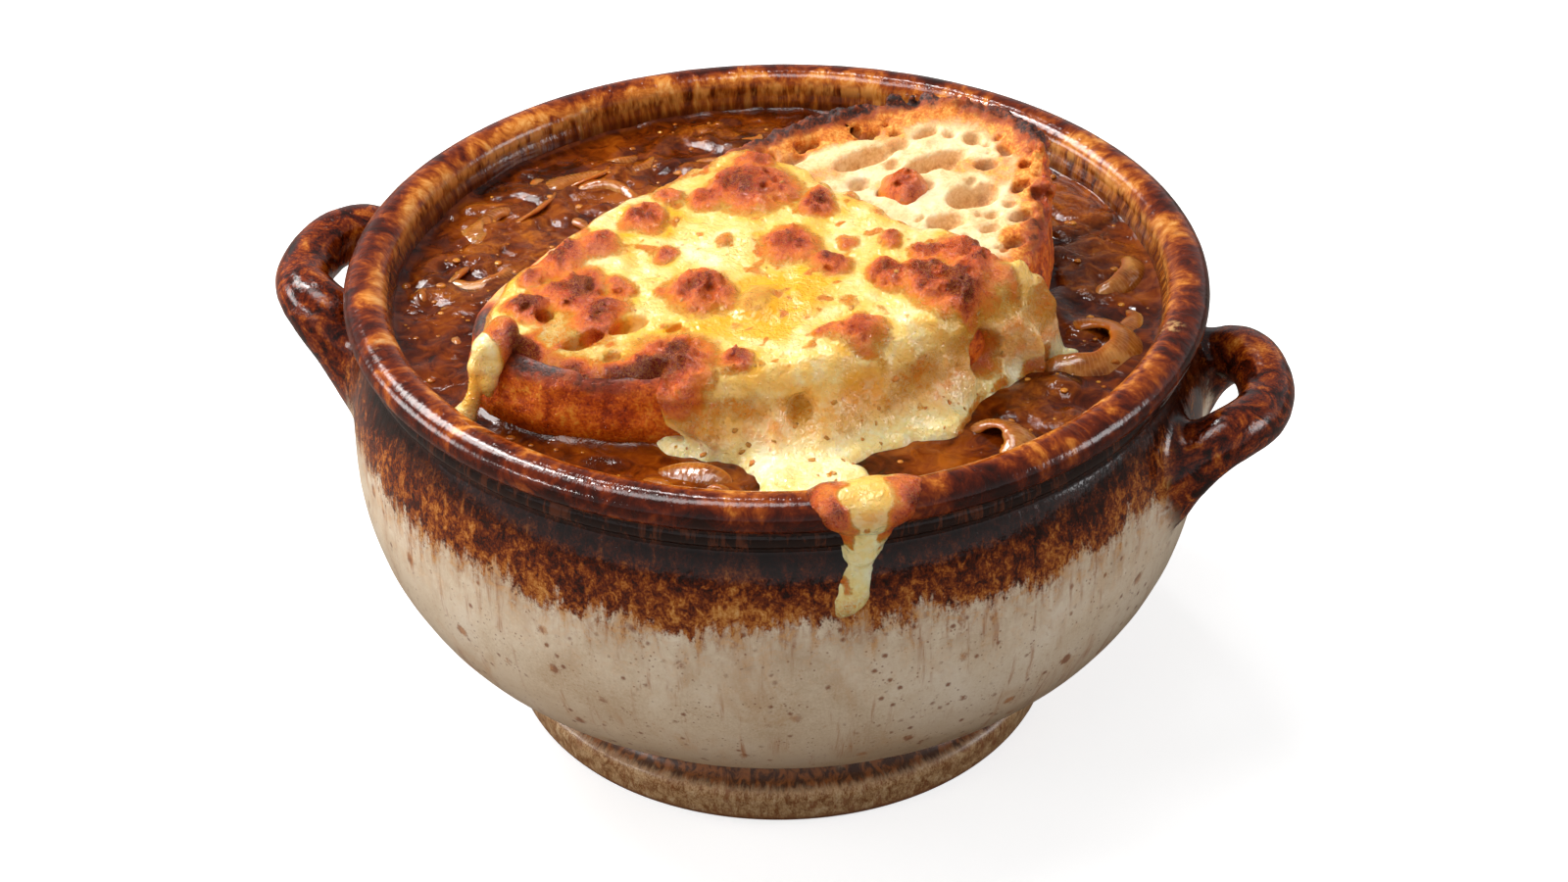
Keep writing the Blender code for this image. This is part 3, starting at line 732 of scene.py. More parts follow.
# --------------------------------------------------------------------------
# bowl
# --------------------------------------------------------------------------
def surface_noise(p):
    r = np.hypot(p[:, 0], p[:, 1]) + 1e-6
    around = np.stack([p[:, 0] / r * 60.0, p[:, 1] / r * 60.0, p[:, 2]], 1)
    wobble = 0.16 * vnoise(around, (0.018, 0.018, 0.035), 3)
    rings = 0.05 * vnoise(around, (0.010, 0.010, 0.30), 5) * smooth(18.0, 26.0, p[:, 2])
    pits = 0.035 * vnoise(p, 0.28, 9)
    return (wobble + rings + pits) * smooth(0.2, 3.0, p[:, 2])


def lathe_line():
    """The bowl's half section again, with points where they are needed."""
    seg = np.linalg.norm(np.diff(BOWL_LINE, axis=0), axis=1)
    arc = np.concatenate([[0.0], np.cumsum(seg)])
    out = [0.0]
    end = arc[-1] - 0.5
    while out[-1] < end:
        s = out[-1]
        r = np.interp(s, arc, BOWL_LINE[:, 0])
        z = np.interp(s, arc, BOWL_LINE[:, 1])
        inner_hidden = s < RIM_TOP_ARC and z < 70.0
        base_hidden = s > RIM_TOP_ARC and (r < 38.0 or z < 0.05)
        near_rim = z > 74.0
        foot = s > RIM_TOP_ARC and z < 16.0
        step = 6.0 if inner_hidden else 4.0 if base_hidden else 0.42 if near_rim else 0.7 if foot else 1.25
        out.append(min(s + step, arc[-1]))
    out[-1] = arc[-1]
    out = np.array(out)
    return np.interp(out, arc, BOWL_LINE[:, 0]), np.interp(out, arc, BOWL_LINE[:, 1]), out


def bowl_mesh():
    r, z, s = lathe_line()
    around = 336
    theta = np.linspace(0, 2 * PI, around + 1)[:-1]
    dr, dz = np.gradient(r), np.gradient(z)
    length = np.maximum(np.hypot(dr, dz), 1e-9)
    nr, nz = dz / length, -dr / length          # outward for this direction of travel
    rr, zz = r[1:-1], z[1:-1]
    verts = np.stack([
        rr[:, None] * np.cos(theta), rr[:, None] * np.sin(theta), np.repeat(zz[:, None], around, 1)
    ], -1).reshape(-1, 3)
    normal = np.stack([
        nr[1:-1, None] * np.cos(theta), nr[1:-1, None] * np.sin(theta), np.repeat(nz[1:-1, None], around, 1)
    ], -1).reshape(-1, 3)
    sign = np.sign(bowl_plain(verts + 0.4 * normal) - bowl_plain(verts - 0.4 * normal))
    normal *= np.where(sign == 0, 1, sign)[:, None]
    verts = verts - normal * surface_noise(verts)[:, None]
    rows = len(rr)
    i, j = np.meshgrid(np.arange(rows - 1), np.arange(around), indexing="ij")
    k = (j + 1) % around
    faces = np.stack([i * around + j, i * around + k, (i + 1) * around + k, (i + 1) * around + j], -1).reshape(-1, 4)
    first = len(verts)
    verts = np.vstack([verts, [[0, 0, z[0]], [0, 0, z[-1]]]])
    even = np.arange(0, around, 2)
    cap0 = np.stack([np.full(len(even), first), (even + 2) % around, even + 1, even], 1)
    base = (rows - 1) * around
    cap1 = np.stack([np.full(len(even), first + 1), base + even, base + even + 1, base + (even + 2) % around], 1)
    faces = np.vstack([faces, cap0, cap1])
    arc = np.concatenate([np.repeat(s[1:-1] - RIM_TOP_ARC, around), [s[0] - RIM_TOP_ARC, s[-1] - RIM_TOP_ARC]])
    return verts, turned_out(verts, faces), arc


def handle_field(index):
    path, radius = HANDLE_PATHS[index]
    side = np.sign(path[0, 0])

    def field(p):
        r = np.hypot(p[:, 0], p[:, 1])
        wall = bowl_dist(r, p[:, 2])
        h = handle_dist(p, path, radius) + 0.16 * vnoise(p, 0.13, 31) + 0.05 * vnoise(p, 0.5, 33)
        d = smin(wall, h, 4.6) + surface_noise(p) + 0.05
        d = np.maximum(d, -(wall + 2.2))
        return np.maximum(d, h - 7.5)

    return field


def bowl_piece():
    verts, faces, arc = bowl_mesh()
    masks = [np.zeros(len(verts))]
    for index, (path, radius) in enumerate(HANDLE_PATHS):
        side = np.sign(path[0, 0])
        low = (62.0, -31.0, 42.0) if side > 0 else (-93.0, -31.0, 42.0)
        high = (93.0, 31.0, 92.0) if side > 0 else (-62.0, 31.0, 92.0)
        v, f = carve(handle_field(index), low, high, 0.85, 2)
        r = np.hypot(v[:, 0], v[:, 1])
        wall = bowl_dist(r, v[:, 2])
        h = handle_dist(v, path, radius)
        faces = np.vstack([faces, f + len(verts)])
        verts = np.vstack([verts, v])
        arc = np.concatenate([arc, bowl_arc(r, v[:, 2]) - RIM_TOP_ARC])
        masks.append(smooth(2.2, 0.4, h + 0.9 * vnoise(v, 0.3, 35)) * smooth(-0.2, 1.6, wall + 0.5 * vnoise(v, 0.4, 36)))
    theta = np.arctan2(verts[:, 1], verts[:, 0])
    gl = np.stack([75 * np.cos(theta), 75 * np.sin(theta), arc], 1)
    mask = np.concatenate(masks)
    away = np.hypot(verts[:, 0], verts[:, 1]) - 75.0
    gl[:, :2] *= (1.0 + np.maximum(away, 0)[:, None] / 75.0)
    return shown(
        mesh_object("bowl_glazed", verts, faces, {"gl": gl, "arc": arc, "hm": mask}, None, glaze_material()),
        "bowl",
    )


# --------------------------------------------------------------------------
# bread
# --------------------------------------------------------------------------
_CT, _ST = math.cos(BREAD_TURN), math.sin(BREAD_TURN)


def to_uv(p):
    dx, dy = p[:, 0] - BREAD_X, p[:, 1] - BREAD_Y
    return dx * _CT + dy * _ST, -dx * _ST + dy * _CT


def from_uv(u, v):
    return BREAD_X + u * _CT - v * _ST, BREAD_Y + u * _ST + v * _CT


def bread_plane(x, y):
    return BREAD_Z0 + SLOPE_X * x + SLOPE_Y * y


def bread_edge(t):
    lump = (
        1.0 - 0.025 * np.cos(2 * t - 4.41) - 0.068 * np.cos(3 * t - 5.48)
        + 0.008 * np.sin(7 * t + 0.6)
    )
    return BREAD_A * np.cos(t) * lump, BREAD_B * np.sin(t) * lump


_t = np.linspace(-PI, PI, 361)[:-1]
_ox, _oy, _od, _oa = polyline_table(
    np.stack(bread_edge(_t), 1), (-76.0, -56.0), (76.0, 56.0), 0.5, closed=True
)
outline_dist = table_lookup(_ox, _oy, _od)


def bread_angle(u, v):
    return np.degrees(np.arctan2(v / BREAD_B, u / BREAD_A))


def edge_curl(u, v, out):
    """The toasted rim of the slice stands up at the back and far end."""
    a = bread_angle(u, v)
    rise = bump(a, 55.0, 42.0) + 0.8 * bump(a, 5.0, 26.0) + 0.35 * bump(a, -172.0, 18.0) + 0.35 * bump(a, 188.0, 18.0)
    return 2.5 * rise * smooth(-6.5, -1.2, out)


def bread_core(p, grow=0.0):
    """Smooth slice: rounded slab with a crust that bellies out a little."""
    u, v = to_uv(p)
    w = p[:, 2] - bread_plane(p[:, 0], p[:, 1])
    out = outline_dist(u, v)
    w = w - edge_curl(u, v, out) * smooth(-9.0, -1.0, w)
    side = out - 1.3 * bump(w, -10.0, 6.5) + 1.4 * smooth(-16.0, -22.0, w)
    half = BREAD_THICK / 2
    r = 2.4
    q1 = side + r
    q2 = np.abs(w + half) - half + r
    d = np.minimum(np.maximum(q1, q2), 0.0) + np.hypot(np.maximum(q1, 0), np.maximum(q2, 0)) - r
    return d - grow


# crumb holes: u, v, half sizes along u and v, depth
HOLES = [
    (34.4, -3.6, 4.9, 3.5, 4.4), (34.0, 8.4, 6.2, 2.4, 3.6), (23.4, 15.4, 5.6, 2.4, 3.4),
    (26.6, -8.0, 3.6, 2.2, 2.8), (41.0, 3.0, 2.2, 1.6, 1.8), (28.5, 3.2, 2.0, 1.3, 1.6),
    (19.5, 9.5, 2.3, 1.4, 1.7), (30.5, 16.0, 2.6, 1.2, 1.6), (13.0, 22.0, 2.6, 1.3, 1.6),
    (38.5, -13.0, 2.4, 1.6, 1.9), (32.0, -13.5, 2.0, 1.3, 1.5), (24.0, 1.0, 1.5, 1.1, 1.2),
    (42.6, -5.8, 1.8, 1.4, 1.5), (27.0, 11.0, 1.6, 1.0, 1.3), (33.5, -19.0, 2.0, 1.3, 1.4),
    (-42.0, -7.6, 3.9, 1.7, 2.3), (-44.8, 1.4, 1.8, 1.9, 2.2), (-33.8, -8.0, 3.6, 1.8, 2.0),
    (-39.5, -13.5, 1.6, 1.0, 1.2), (-27.5, -12.5, 1.8, 1.1, 1.2),
]
HOLES += [
    (8.0, 24.6, 2.4, 0.9, 1.8), (17.0, 24.0, 2.2, 1.0, 1.9), (27.6, 21.6, 2.6, 1.1, 2.0), (36.6, 16.6, 2.4, 1.2, 2.0),
    (43.0, 11.0, 1.6, 1.7, 2.0), (46.0, 5.2, 1.1, 1.9, 1.9), (46.2, -1.6, 1.1, 1.6, 1.8), (43.8, -9.6, 1.1, 1.7, 1.7),
    (40.8, -16.6, 1.2, 1.5, 1.6), (32.0, 19.4, 1.2, 0.9, 1.5), (40.0, 14.2, 1.1, 0.9, 1.5), (44.4, 8.6, 0.9, 0.8, 1.3),
]
_hr = np.random.RandomState(77)
SMALL_HOLES = []
while len(SMALL_HOLES) < 70:
    _u, _v = _hr.uniform(8, 50), _hr.uniform(-26, 28)
    if outline_dist(np.array([_u]), np.array([_v]))[0] > -3.2:
        continue
    _s = 0.35 + 0.75 * _hr.rand() ** 2
    SMALL_HOLES.append((_u, _v, _s * _hr.uniform(0.9, 1.7), _s, _s * 1.2))


def cut_holes(p, d, w, holes, k):
    u, v = to_uv(p)
    for hu, hv, a, b, depth in holes:
        near = (np.abs(u - hu) < a + 2.0) & (np.abs(v - hv) < b + 2.0) & (w > -depth - 3.0)
        if not near.any():
            continue
        q = np.stack([(u[near] - hu) / a, (v[near] - hv) / b, (w[near] + 0.25) / depth], 1)
        e = (np.linalg.norm(q, axis=1) - 1.0) * min(a, b, depth)
        d[near] = smax(d[near], -e, k)
    return d


def bread_field(p):
    d = bread_core(p)
    u, v = to_uv(p)
    w = p[:, 2] - bread_plane(p[:, 0], p[:, 1])
    out = outline_dist(u, v)
    a = bread_angle(u, v)
    crust = smooth(-5.0, -1.0, out)
    char = crust * smooth(-5.0, -1.0, w) * (bump(a, 50.0, 48.0) + bump(a, -5.0, 30.0))
    char = np.clip(char, 0, 1)
    d = d + 0.42 * crust * fbm(p, 0.17, 2, 41) + 0.20 * crust * fbm(p, 0.62, 2, 43)
    d = d + char * (1.9 * fbm(p, 0.32, 3, 47) + 0.7 * vnoise(p, 0.9, 49))
    crumb = (1.0 - smooth(-4.5, -2.5, out)) * smooth(-4.0, -1.0, w)
    d = d + crumb * (0.55 * fbm(p, 0.16, 2, 51) + 0.30 * fbm(p, 0.55, 2, 53))
    cut = (d < 3.0) & (d > -6.0) & (w > -7.0)
    dd = d[cut]
    dd = cut_holes(p[cut], dd, w[cut], HOLES, 0.8)
    dd = cut_holes(p[cut], dd, w[cut], SMALL_HOLES, 0.35)
    d[cut] = dd
    return d


# --------------------------------------------------------------------------
# cheese
# --------------------------------------------------------------------------
# browned blisters: u, v, radius, height, how brown
BLISTERS = [
    (0.4, 14.1, 7.6, 2.6, 1.0), (-6.5, 16.0, 4.0, 1.2, 0.8), (8.4, 5.2, 3.8, 1.5, 0.95),
    (24.8, 3.8, 4.0, 0.7, 0.80), (15.0, -10.7, 2.8, 0.9, 0.8), (0.1, -3.6, 5.4, 1.7, 0.85),
    (2.4, -11.4, 4.2, 1.4, 0.9), (-19.6, -6.4, 6.6, 2.5, 0.95), (-13.4, -13.2, 4.6, 1.5, 0.25),
    (-37.6, 5.4, 5.4, 1.7, 1.0), (-36.6, -2.6, 5.0, 1.6, 1.0), (-30.5, 1.5, 3.0, 0.9, 0.6),
    (-19.3, 16.4, 4.6, 1.8, 0.95), (-28.8, 13.6, 4.4, 1.5, 0.7), (-19.4, 7.3, 2.4, 0.8, 0.8),
    (-46.8, 5.3, 3.6, 1.2, 0.95), (-35.2, 13.8, 4.6, 1.5, 0.9), (-31.6, -20.6, 7.0, 2.1, 1.0),
    (-37.6, -18.2, 4.2, 1.2, 0.9), (-23.6, -26.6, 3.2, 1.1, 0.8), (-2.2, -28.8, 4.8, 1.4, 0.85),
    (-6.2, -26.4, 3.0, 0.9, 0.7), (24.0, -20.2, 5.8, 2.0, 1.0), (18.6, -17.4, 3.4, 1.0, 0.8),
    (9.4, -18.8, 3.8, 1.3, 0.9), (14.0, -23.4, 5.0, 1.8, 1.1), (18.6, -27.6, 5.0, 2.0, 1.2),
    (22.6, -25.4, 4.0, 1.5, 1.1), (-51.0, -4.0, 3.0, 1.0, 1.0), (-47.2, -12.4, 3.2, 0.9, 0.9),
    (-9.5, 4.0, 2.0, 0.6, 0.45), (-12.0, 20.5, 3.4, 0.9, 0.6), (5.0, 20.8, 3.6, 1.1, 0.8),
    (-25.5, -3.0, 1.8, 0.5, 0.5), (8.0, -6.5, 1.9, 0.6, 0.5), (-42.0, 12.5, 3.0, 0.9, 0.9),
]
_BV = [-40.0, -26.3, -21.9, -15.8, -11.2, -7.0, -0.3, 4.3, 9.5, 15.1, 20.4, 26.2, 40.0]
_BU = [34.0, 30.5, 27.6, 26.4, 24.2, 20.0, 19.3, 17.4, 14.6, 13.4, 10.6, 6.5, 0.0]
CURTAIN = (-134.0, -45.0)
RUN_TOP, RUN_LOW = -65.6, -64.2          # azimuth of the run at its top and end


def blisters(u, v):
    """Height of the puffed spots in the cheese, and how browned they are."""
    flat = np.stack([u, v, 0 * u], 1)
    wu = u + 1.5 * vnoise(flat, 0.13, 57) + 0.8 * vnoise(flat, 0.37, 58)
    wv = v + 1.5 * vnoise(flat, 0.13, 59) + 0.8 * vnoise(flat, 0.37, 60)
    rise = np.zeros(len(u))
    brown = np.zeros(len(u))
    halo = np.zeros(len(u))
    for bu, bv, r, h, level in BLISTERS:
        d2 = ((wu - bu) ** 2 + (wv - bv) ** 2) / (r * r)
        near = d2 < 5.0
        if not near.any():
            continue
        halo[near] = np.maximum(halo[near], level * smooth(2.1, 0.8, np.sqrt(d2[near])))
        k = np.clip(1.0 - d2[near], 0.0, 1.0)
        rise[near] = np.maximum(rise[near], 0) + h * k ** 1.25 * (1.0 - 0.35 * np.minimum(rise[near], 1.0))
        brown[near] = np.maximum(brown[near], level * smooth(1.45, 0.15, np.sqrt(d2[near])))
    return rise, brown, halo


def cheese_depth(p):
    """How far inside the covered area a point is, in mm, and its curtain share."""
    u, v = to_uv(p)
    w = p[:, 2] - bread_plane(p[:, 0], p[:, 1])
    out = outline_dist(u, v)
    a = bread_angle(u, v)
    flat = np.stack([u, v, 0 * u], 1)
    bare = (np.interp(v, _BV, _BU) - u) * 0.92 + 1.6 * vnoise(flat, 0.20, 61) + 0.9 * vnoise(flat, 0.47, 63)
    margin = -out - 1.7 - 1.0 * vnoise(flat, 0.16, 65) - 0.7 * vnoise(flat, 0.42, 66)
    ragged = 1.5 * vnoise(np.stack([0 * u, 0 * u, w], 1), 0.16, 67) + 0.6 * vnoise(p, 0.35, 68)
    bare = np.maximum(bare, 4.3 - np.hypot(u - 25.2, v - 4.2) + 0.8 * vnoise(flat, 0.4, 64))
    radius = np.hypot(u, v)
    radius = np.clip(radius, 10, 60)
    left = np.radians(a - CURTAIN[0]) * radius - 0.42 * np.maximum(0.0, -w - 1.0) - 1.6 * smooth(-6.5, -9.5, w)
    hang = np.minimum(left, np.radians(CURTAIN[1] - a) * radius) + ragged
    margin = np.where(hang > 0, np.maximum(margin, hang), margin)
    return smin(bare + 3.0 * smooth(-8, 2, hang) * smooth(-3.0, 2.0, out), margin, 1.5), hang, u, v, w, out, a


DENT = (-69.6, -5.6, 1.8, 2.6)            # along the curtain, height, half sizes
CAVE = (-47.1, -8.6, 1.9, 3.4)


def hollow(s, w, place):
    return np.exp(-(((s - place[0]) / place[2]) ** 2 + ((w - place[1]) / place[3]) ** 2) ** 2)


def cheese_thickness(p):
    c, hang, u, v, w, out, a = cheese_depth(p)
    t = np.where(c > 0, 2.3 * (1.0 - np.exp(-np.maximum(c, 0) / 1.3)), 2.6 * np.minimum(c, 0))
    flat = np.stack([u, v, 0 * u], 1)
    body = smooth(0.0, 2.5, c)
    top = smooth(-4.0, -0.5, w)
    rise, brown, _ = blisters(u, v)
    t = t + rise * smooth(-0.8, 1.2, c) * top
    t = t + body * top * (0.75 * fbm(flat, 0.11, 3, 71) + 0.40 * fbm(p, 0.42, 3, 73))
    wrinkle = 1.0 - np.abs(fbm(p, 0.50, 2, 75)) * 3.0
    t = t + smooth(0.20, 0.7, brown) * top * body * (0.70 * wrinkle + 0.45 * fbm(p, 0.95, 2, 77))
    # folds that run down the curtain, thicker where it gathers on the soup
    s = np.radians(a) * 38.0
    side = smooth(-1.0, 1.0, out) * smooth(0, 2, hang)
    fold = vnoise(np.stack([s, 0 * s, w * 0.30], 1), 0.15, 81) + 0.8 * (1.0 - 2.0 * np.abs(vnoise(np.stack([s, 0 * s, w * 0.22], 1), 0.26, 83)))
    right = smooth(-85.0, -62.0, a)
    deep = smooth(-1.0, -9.0, w)
    t = t + side * ((1.45 + 0.75 * right) * fold * (0.30 + 0.70 * deep) + 0.3 + 2.3 * smooth(-1.0, -15.0, w) + 0.45 * fbm(p, 0.42, 3, 85))
    t = t - side * (1.9 * hollow(s, w, DENT) + 9.0 * hollow(s, w, CAVE))
    t = np.where(c > 0, t * (1.0 - 0.55 * side * smooth(7.0, 0.5, hang)), t)
    return t


def chain(p, points, radii, k=0.0):
    best = np.full(len(p), 1e9)
    for i in range(len(points) - 1):
        a, b = np.array(points[i], float), np.array(points[i + 1], float)
        seg = b - a
        d = p - a
        t = np.clip(d @ seg / (seg @ seg), 0.0, 1.0)
        e = d - t[:, None] * seg
        r = radii[i] + (radii[i + 1] - radii[i]) * t
        e = np.sqrt((e * e).sum(1)) - r
        best = np.minimum(best, e) if i == 0 or k == 0 else smin(best, e, k)
    return best


# outline of the cheese that has spread on the soup, closed under the bread
POOL = [
    (-12.0, -44.0), (-9.6, -50.0), (-3.6, -53.2), (1.2, -52.2), (6.3, -53.0), (9.8, -56.2), (12.4, -61.5),
    (17.0, -64.6), (24.5, -62.0), (27.8, -55.6), (28.2, -52.2), (25.6, -49.9), (22.8, -48.6), (25.3, -45.6),
    (30.4, -40.6), (35.1, -39.0), (39.9, -36.2), (40.2, -31.0), (41.0, -25.0), (44.5, -20.0), (47.5, -13.5),
    (53.0, -9.2), (55.0, -7.4), (53.5, -5.8), (49.0, -6.4), (44.0, -8.0), (38.0, -9.0), (20.0, -24.0), (0.0, -36.0),
]


def rounded(points, times=3):
    """A closed outline with its corners cut, a few times over."""
    p = np.array(points, float)
    for _ in range(times):
        q = np.roll(p, -1, axis=0)
        p = np.stack([0.75 * p + 0.25 * q, 0.25 * p + 0.75 * q], 1).reshape(-1, 2)
    return p


_px, _py, _pd, _ = polyline_table(rounded(POOL, 2), (-24.0, -76.0), (64.0, 2.0), 0.5, closed=True)
pool_table = table_lookup(_px, _py, _pd)


def pool_depth(x, y):
    p = np.stack([x, y, 0 * x], 1)
    inside = -pool_table(x + 0.8 * vnoise(p, 0.22, 91), y + 0.8 * vnoise(p, 0.22, 93))
    far = np.maximum(np.maximum(-22.0 - x, x - 62.0), np.maximum(-74.0 - y, y))
    inside = np.where(far > 0, np.minimum(inside, -far - 3.0), inside)
    return inside + 0.45 * vnoise(p, 0.5, 95) + 0.8 * vnoise(p, 0.16, 96)


def run_half(z, outside):
    """Half the width of the run at a height on the outside of the rim."""
    fall = np.interp(z, [72.0, 74.0, 77.0, 79.0, 80.6, 82.4, 84.4, 86.4], [3.4, 3.5, 3.9, 4.4, 5.1, 6.1, 7.4, 9.0])
    return np.where(outside > 0.5, fall, 9.3)


def run_side(p):
    az = np.degrees(np.arctan2(p[:, 1], p[:, 0]))
    centre = np.interp(p[:, 2], [64.0, 74.0, 84.0], [-68.6, -66.4, RUN_TOP])
    return np.radians(az - centre) * 72.0


def run_thickness(p):
    """Thickness of the cheese that lies on the bowl's rim and runs down from it."""
    r = np.hypot(p[:, 0], p[:, 1])
    z = p[:, 2]
    outside = smooth(RIM_R - 1.5, RIM_R + 1.5, r)
    side = run_side(p) + 0.7 * vnoise(p, 0.22, 97) + 0.3 * vnoise(p, 0.6, 98)
    half = run_half(z, outside)
    c = half - np.abs(side)
    end = (z - 72.9) * 1.1 - 0.16 * side ** 2
    c = np.where(outside > 0.5, np.minimum(c, end), c)
    across = np.clip(1.0 - (side / half) ** 2, 0.0, 1.0)
    thick = 0.35 + 0.85 * across ** 0.9 + 0.85 * bump(z, 75.2, 2.4) * outside * across ** 0.5
    thick = thick + 0.25 * bump(np.abs(side) / half, 0.72, 0.22) * smooth(79.0, 83.0, z)
    thick = thick + 0.35 * fbm(p, 0.28, 2, 94) * smooth(76.0, 82.0, z)
    t = np.where(c > 0, thick * (1 - np.exp(-np.maximum(c, 0) / 0.9)), 2.4 * np.minimum(c, 0))
    # a thin translucent drop that ran on below it
    s2 = side + 0.35 * np.sin(z * 0.9)
    width = np.interp(z, [64.6, 67.0, 71.0, 75.0], [2.3, 2.9, 2.6, 2.6])
    drop = np.minimum(width - np.abs(s2), np.minimum((z - 64.6) * 1.1 - 0.42 * s2 ** 2, 77.0 - z))
    t2 = np.where(drop > 0, (0.45 + 0.65 * bump(z, 67.2, 2.0)) * (1 - np.exp(-np.maximum(drop, 0) / 0.8)), 2.2 * np.minimum(drop, 0))
    t = np.where(outside > 0.5, smax(t, t2, 0.4), t)
    return t + 0.10 * vnoise(p, 0.7, 99)


def cheese_field(p):
    core = bread_core(p)
    d = core - cheese_thickness(p)
    d = smax(d, -(core + 3.4), 0.6)                    # a skin, not a block
    z = p[:, 2]
    level = SOUP_Z + 0.35 * np.sin(0.23 * p[:, 0] + 0.11 * p[:, 1]) * np.cos(0.19 * p[:, 1] - 0.07 * p[:, 0])
    pool = pool_depth(p[:, 0], p[:, 1])
    rise = np.where(pool > 0, 1.9 * (1 - np.exp(-np.maximum(pool, 0) / 1.3)), pool * 1.6)
    rise = rise + 0.55 * fbm(p, 0.16, 2, 101) * smooth(0, 3, pool) + 0.25 * vnoise(p, 0.5, 102) * smooth(0, 2, pool)
    on_soup = np.maximum(z - (level + rise), (level - 1.6) - z)
    on_soup = np.maximum(on_soup * 0.8, -(pool + 1.0))
    d = smin(d, on_soup, 2.0 + 4.0 * smooth(0.5, 5.0, pool))
    # strand at the near left corner, with a foot on the soup
    for points, radii in STRANDS:
        lo = np.min(points, 0) - 6.0
        hi = np.max(points, 0) + 6.0
        near = ((p > lo) & (p < hi)).all(1)
        if near.any():
            d[near] = smin(d[near], chain(p[near], points, radii, 0.8), 1.1)
    # the run over the rim
    wall = bowl_plain(p)
    near = (p[:, 1] < -48.0) & (p[:, 0] > 8.0) & (z > 60.0) & (wall < 6.0)
    if near.any():
        q = p[near]
        over = wall[near] - run_thickness(q)
        over = smax(over, -(wall[near] + 1.4), 0.4)
        over = np.maximum(over, (SOUP_Z - 1.2) - np.where(np.hypot(q[:, 0], q[:, 1]) < RIM_R - 2, q[:, 2], 999.0))
        d[near] = smin(d[near], over, 2.4)
    w = z - bread_plane(p[:, 0], p[:, 1])
    cut = (np.abs(d) < 5.0) & (w > -6.0) & (p[:, 0] < 10.0)
    if cut.any():
        d[cut] = cut_holes(p[cut], d[cut], w[cut] - 1.2, HOLES[15:20], 1.0)
    return d


STRANDS = [
    (np.array([(-35.4, -44.6, 94.6), (-37.6, -47.2, 92.4), (-38.9, -48.4, 89.6), (-39.2, -48.7, 86.4),
               (-39.9, -49.2, 83.2), (-41.2, -50.0, 80.6), (-42.6, -50.9, 79.1)]),
     [2.6, 2.3, 1.6, 1.15, 1.3, 2.0, 2.7]),
    (np.array([(-35.0, -45.6, 93.4), (-36.2, -48.4, 90.0), (-36.8, -49.0, 87.4), (-37.0, -49.1, 85.2)]),
     [2.2, 1.4, 1.2, 0.8]),
    (np.array([(46.4, -8.0, 92.0), (48.4, -7.6, 88.0), (49.0, -7.4, 84.0), (49.4, -7.4, 80.0)]),
     [1.8, 1.7, 1.5, 2.2]),
]


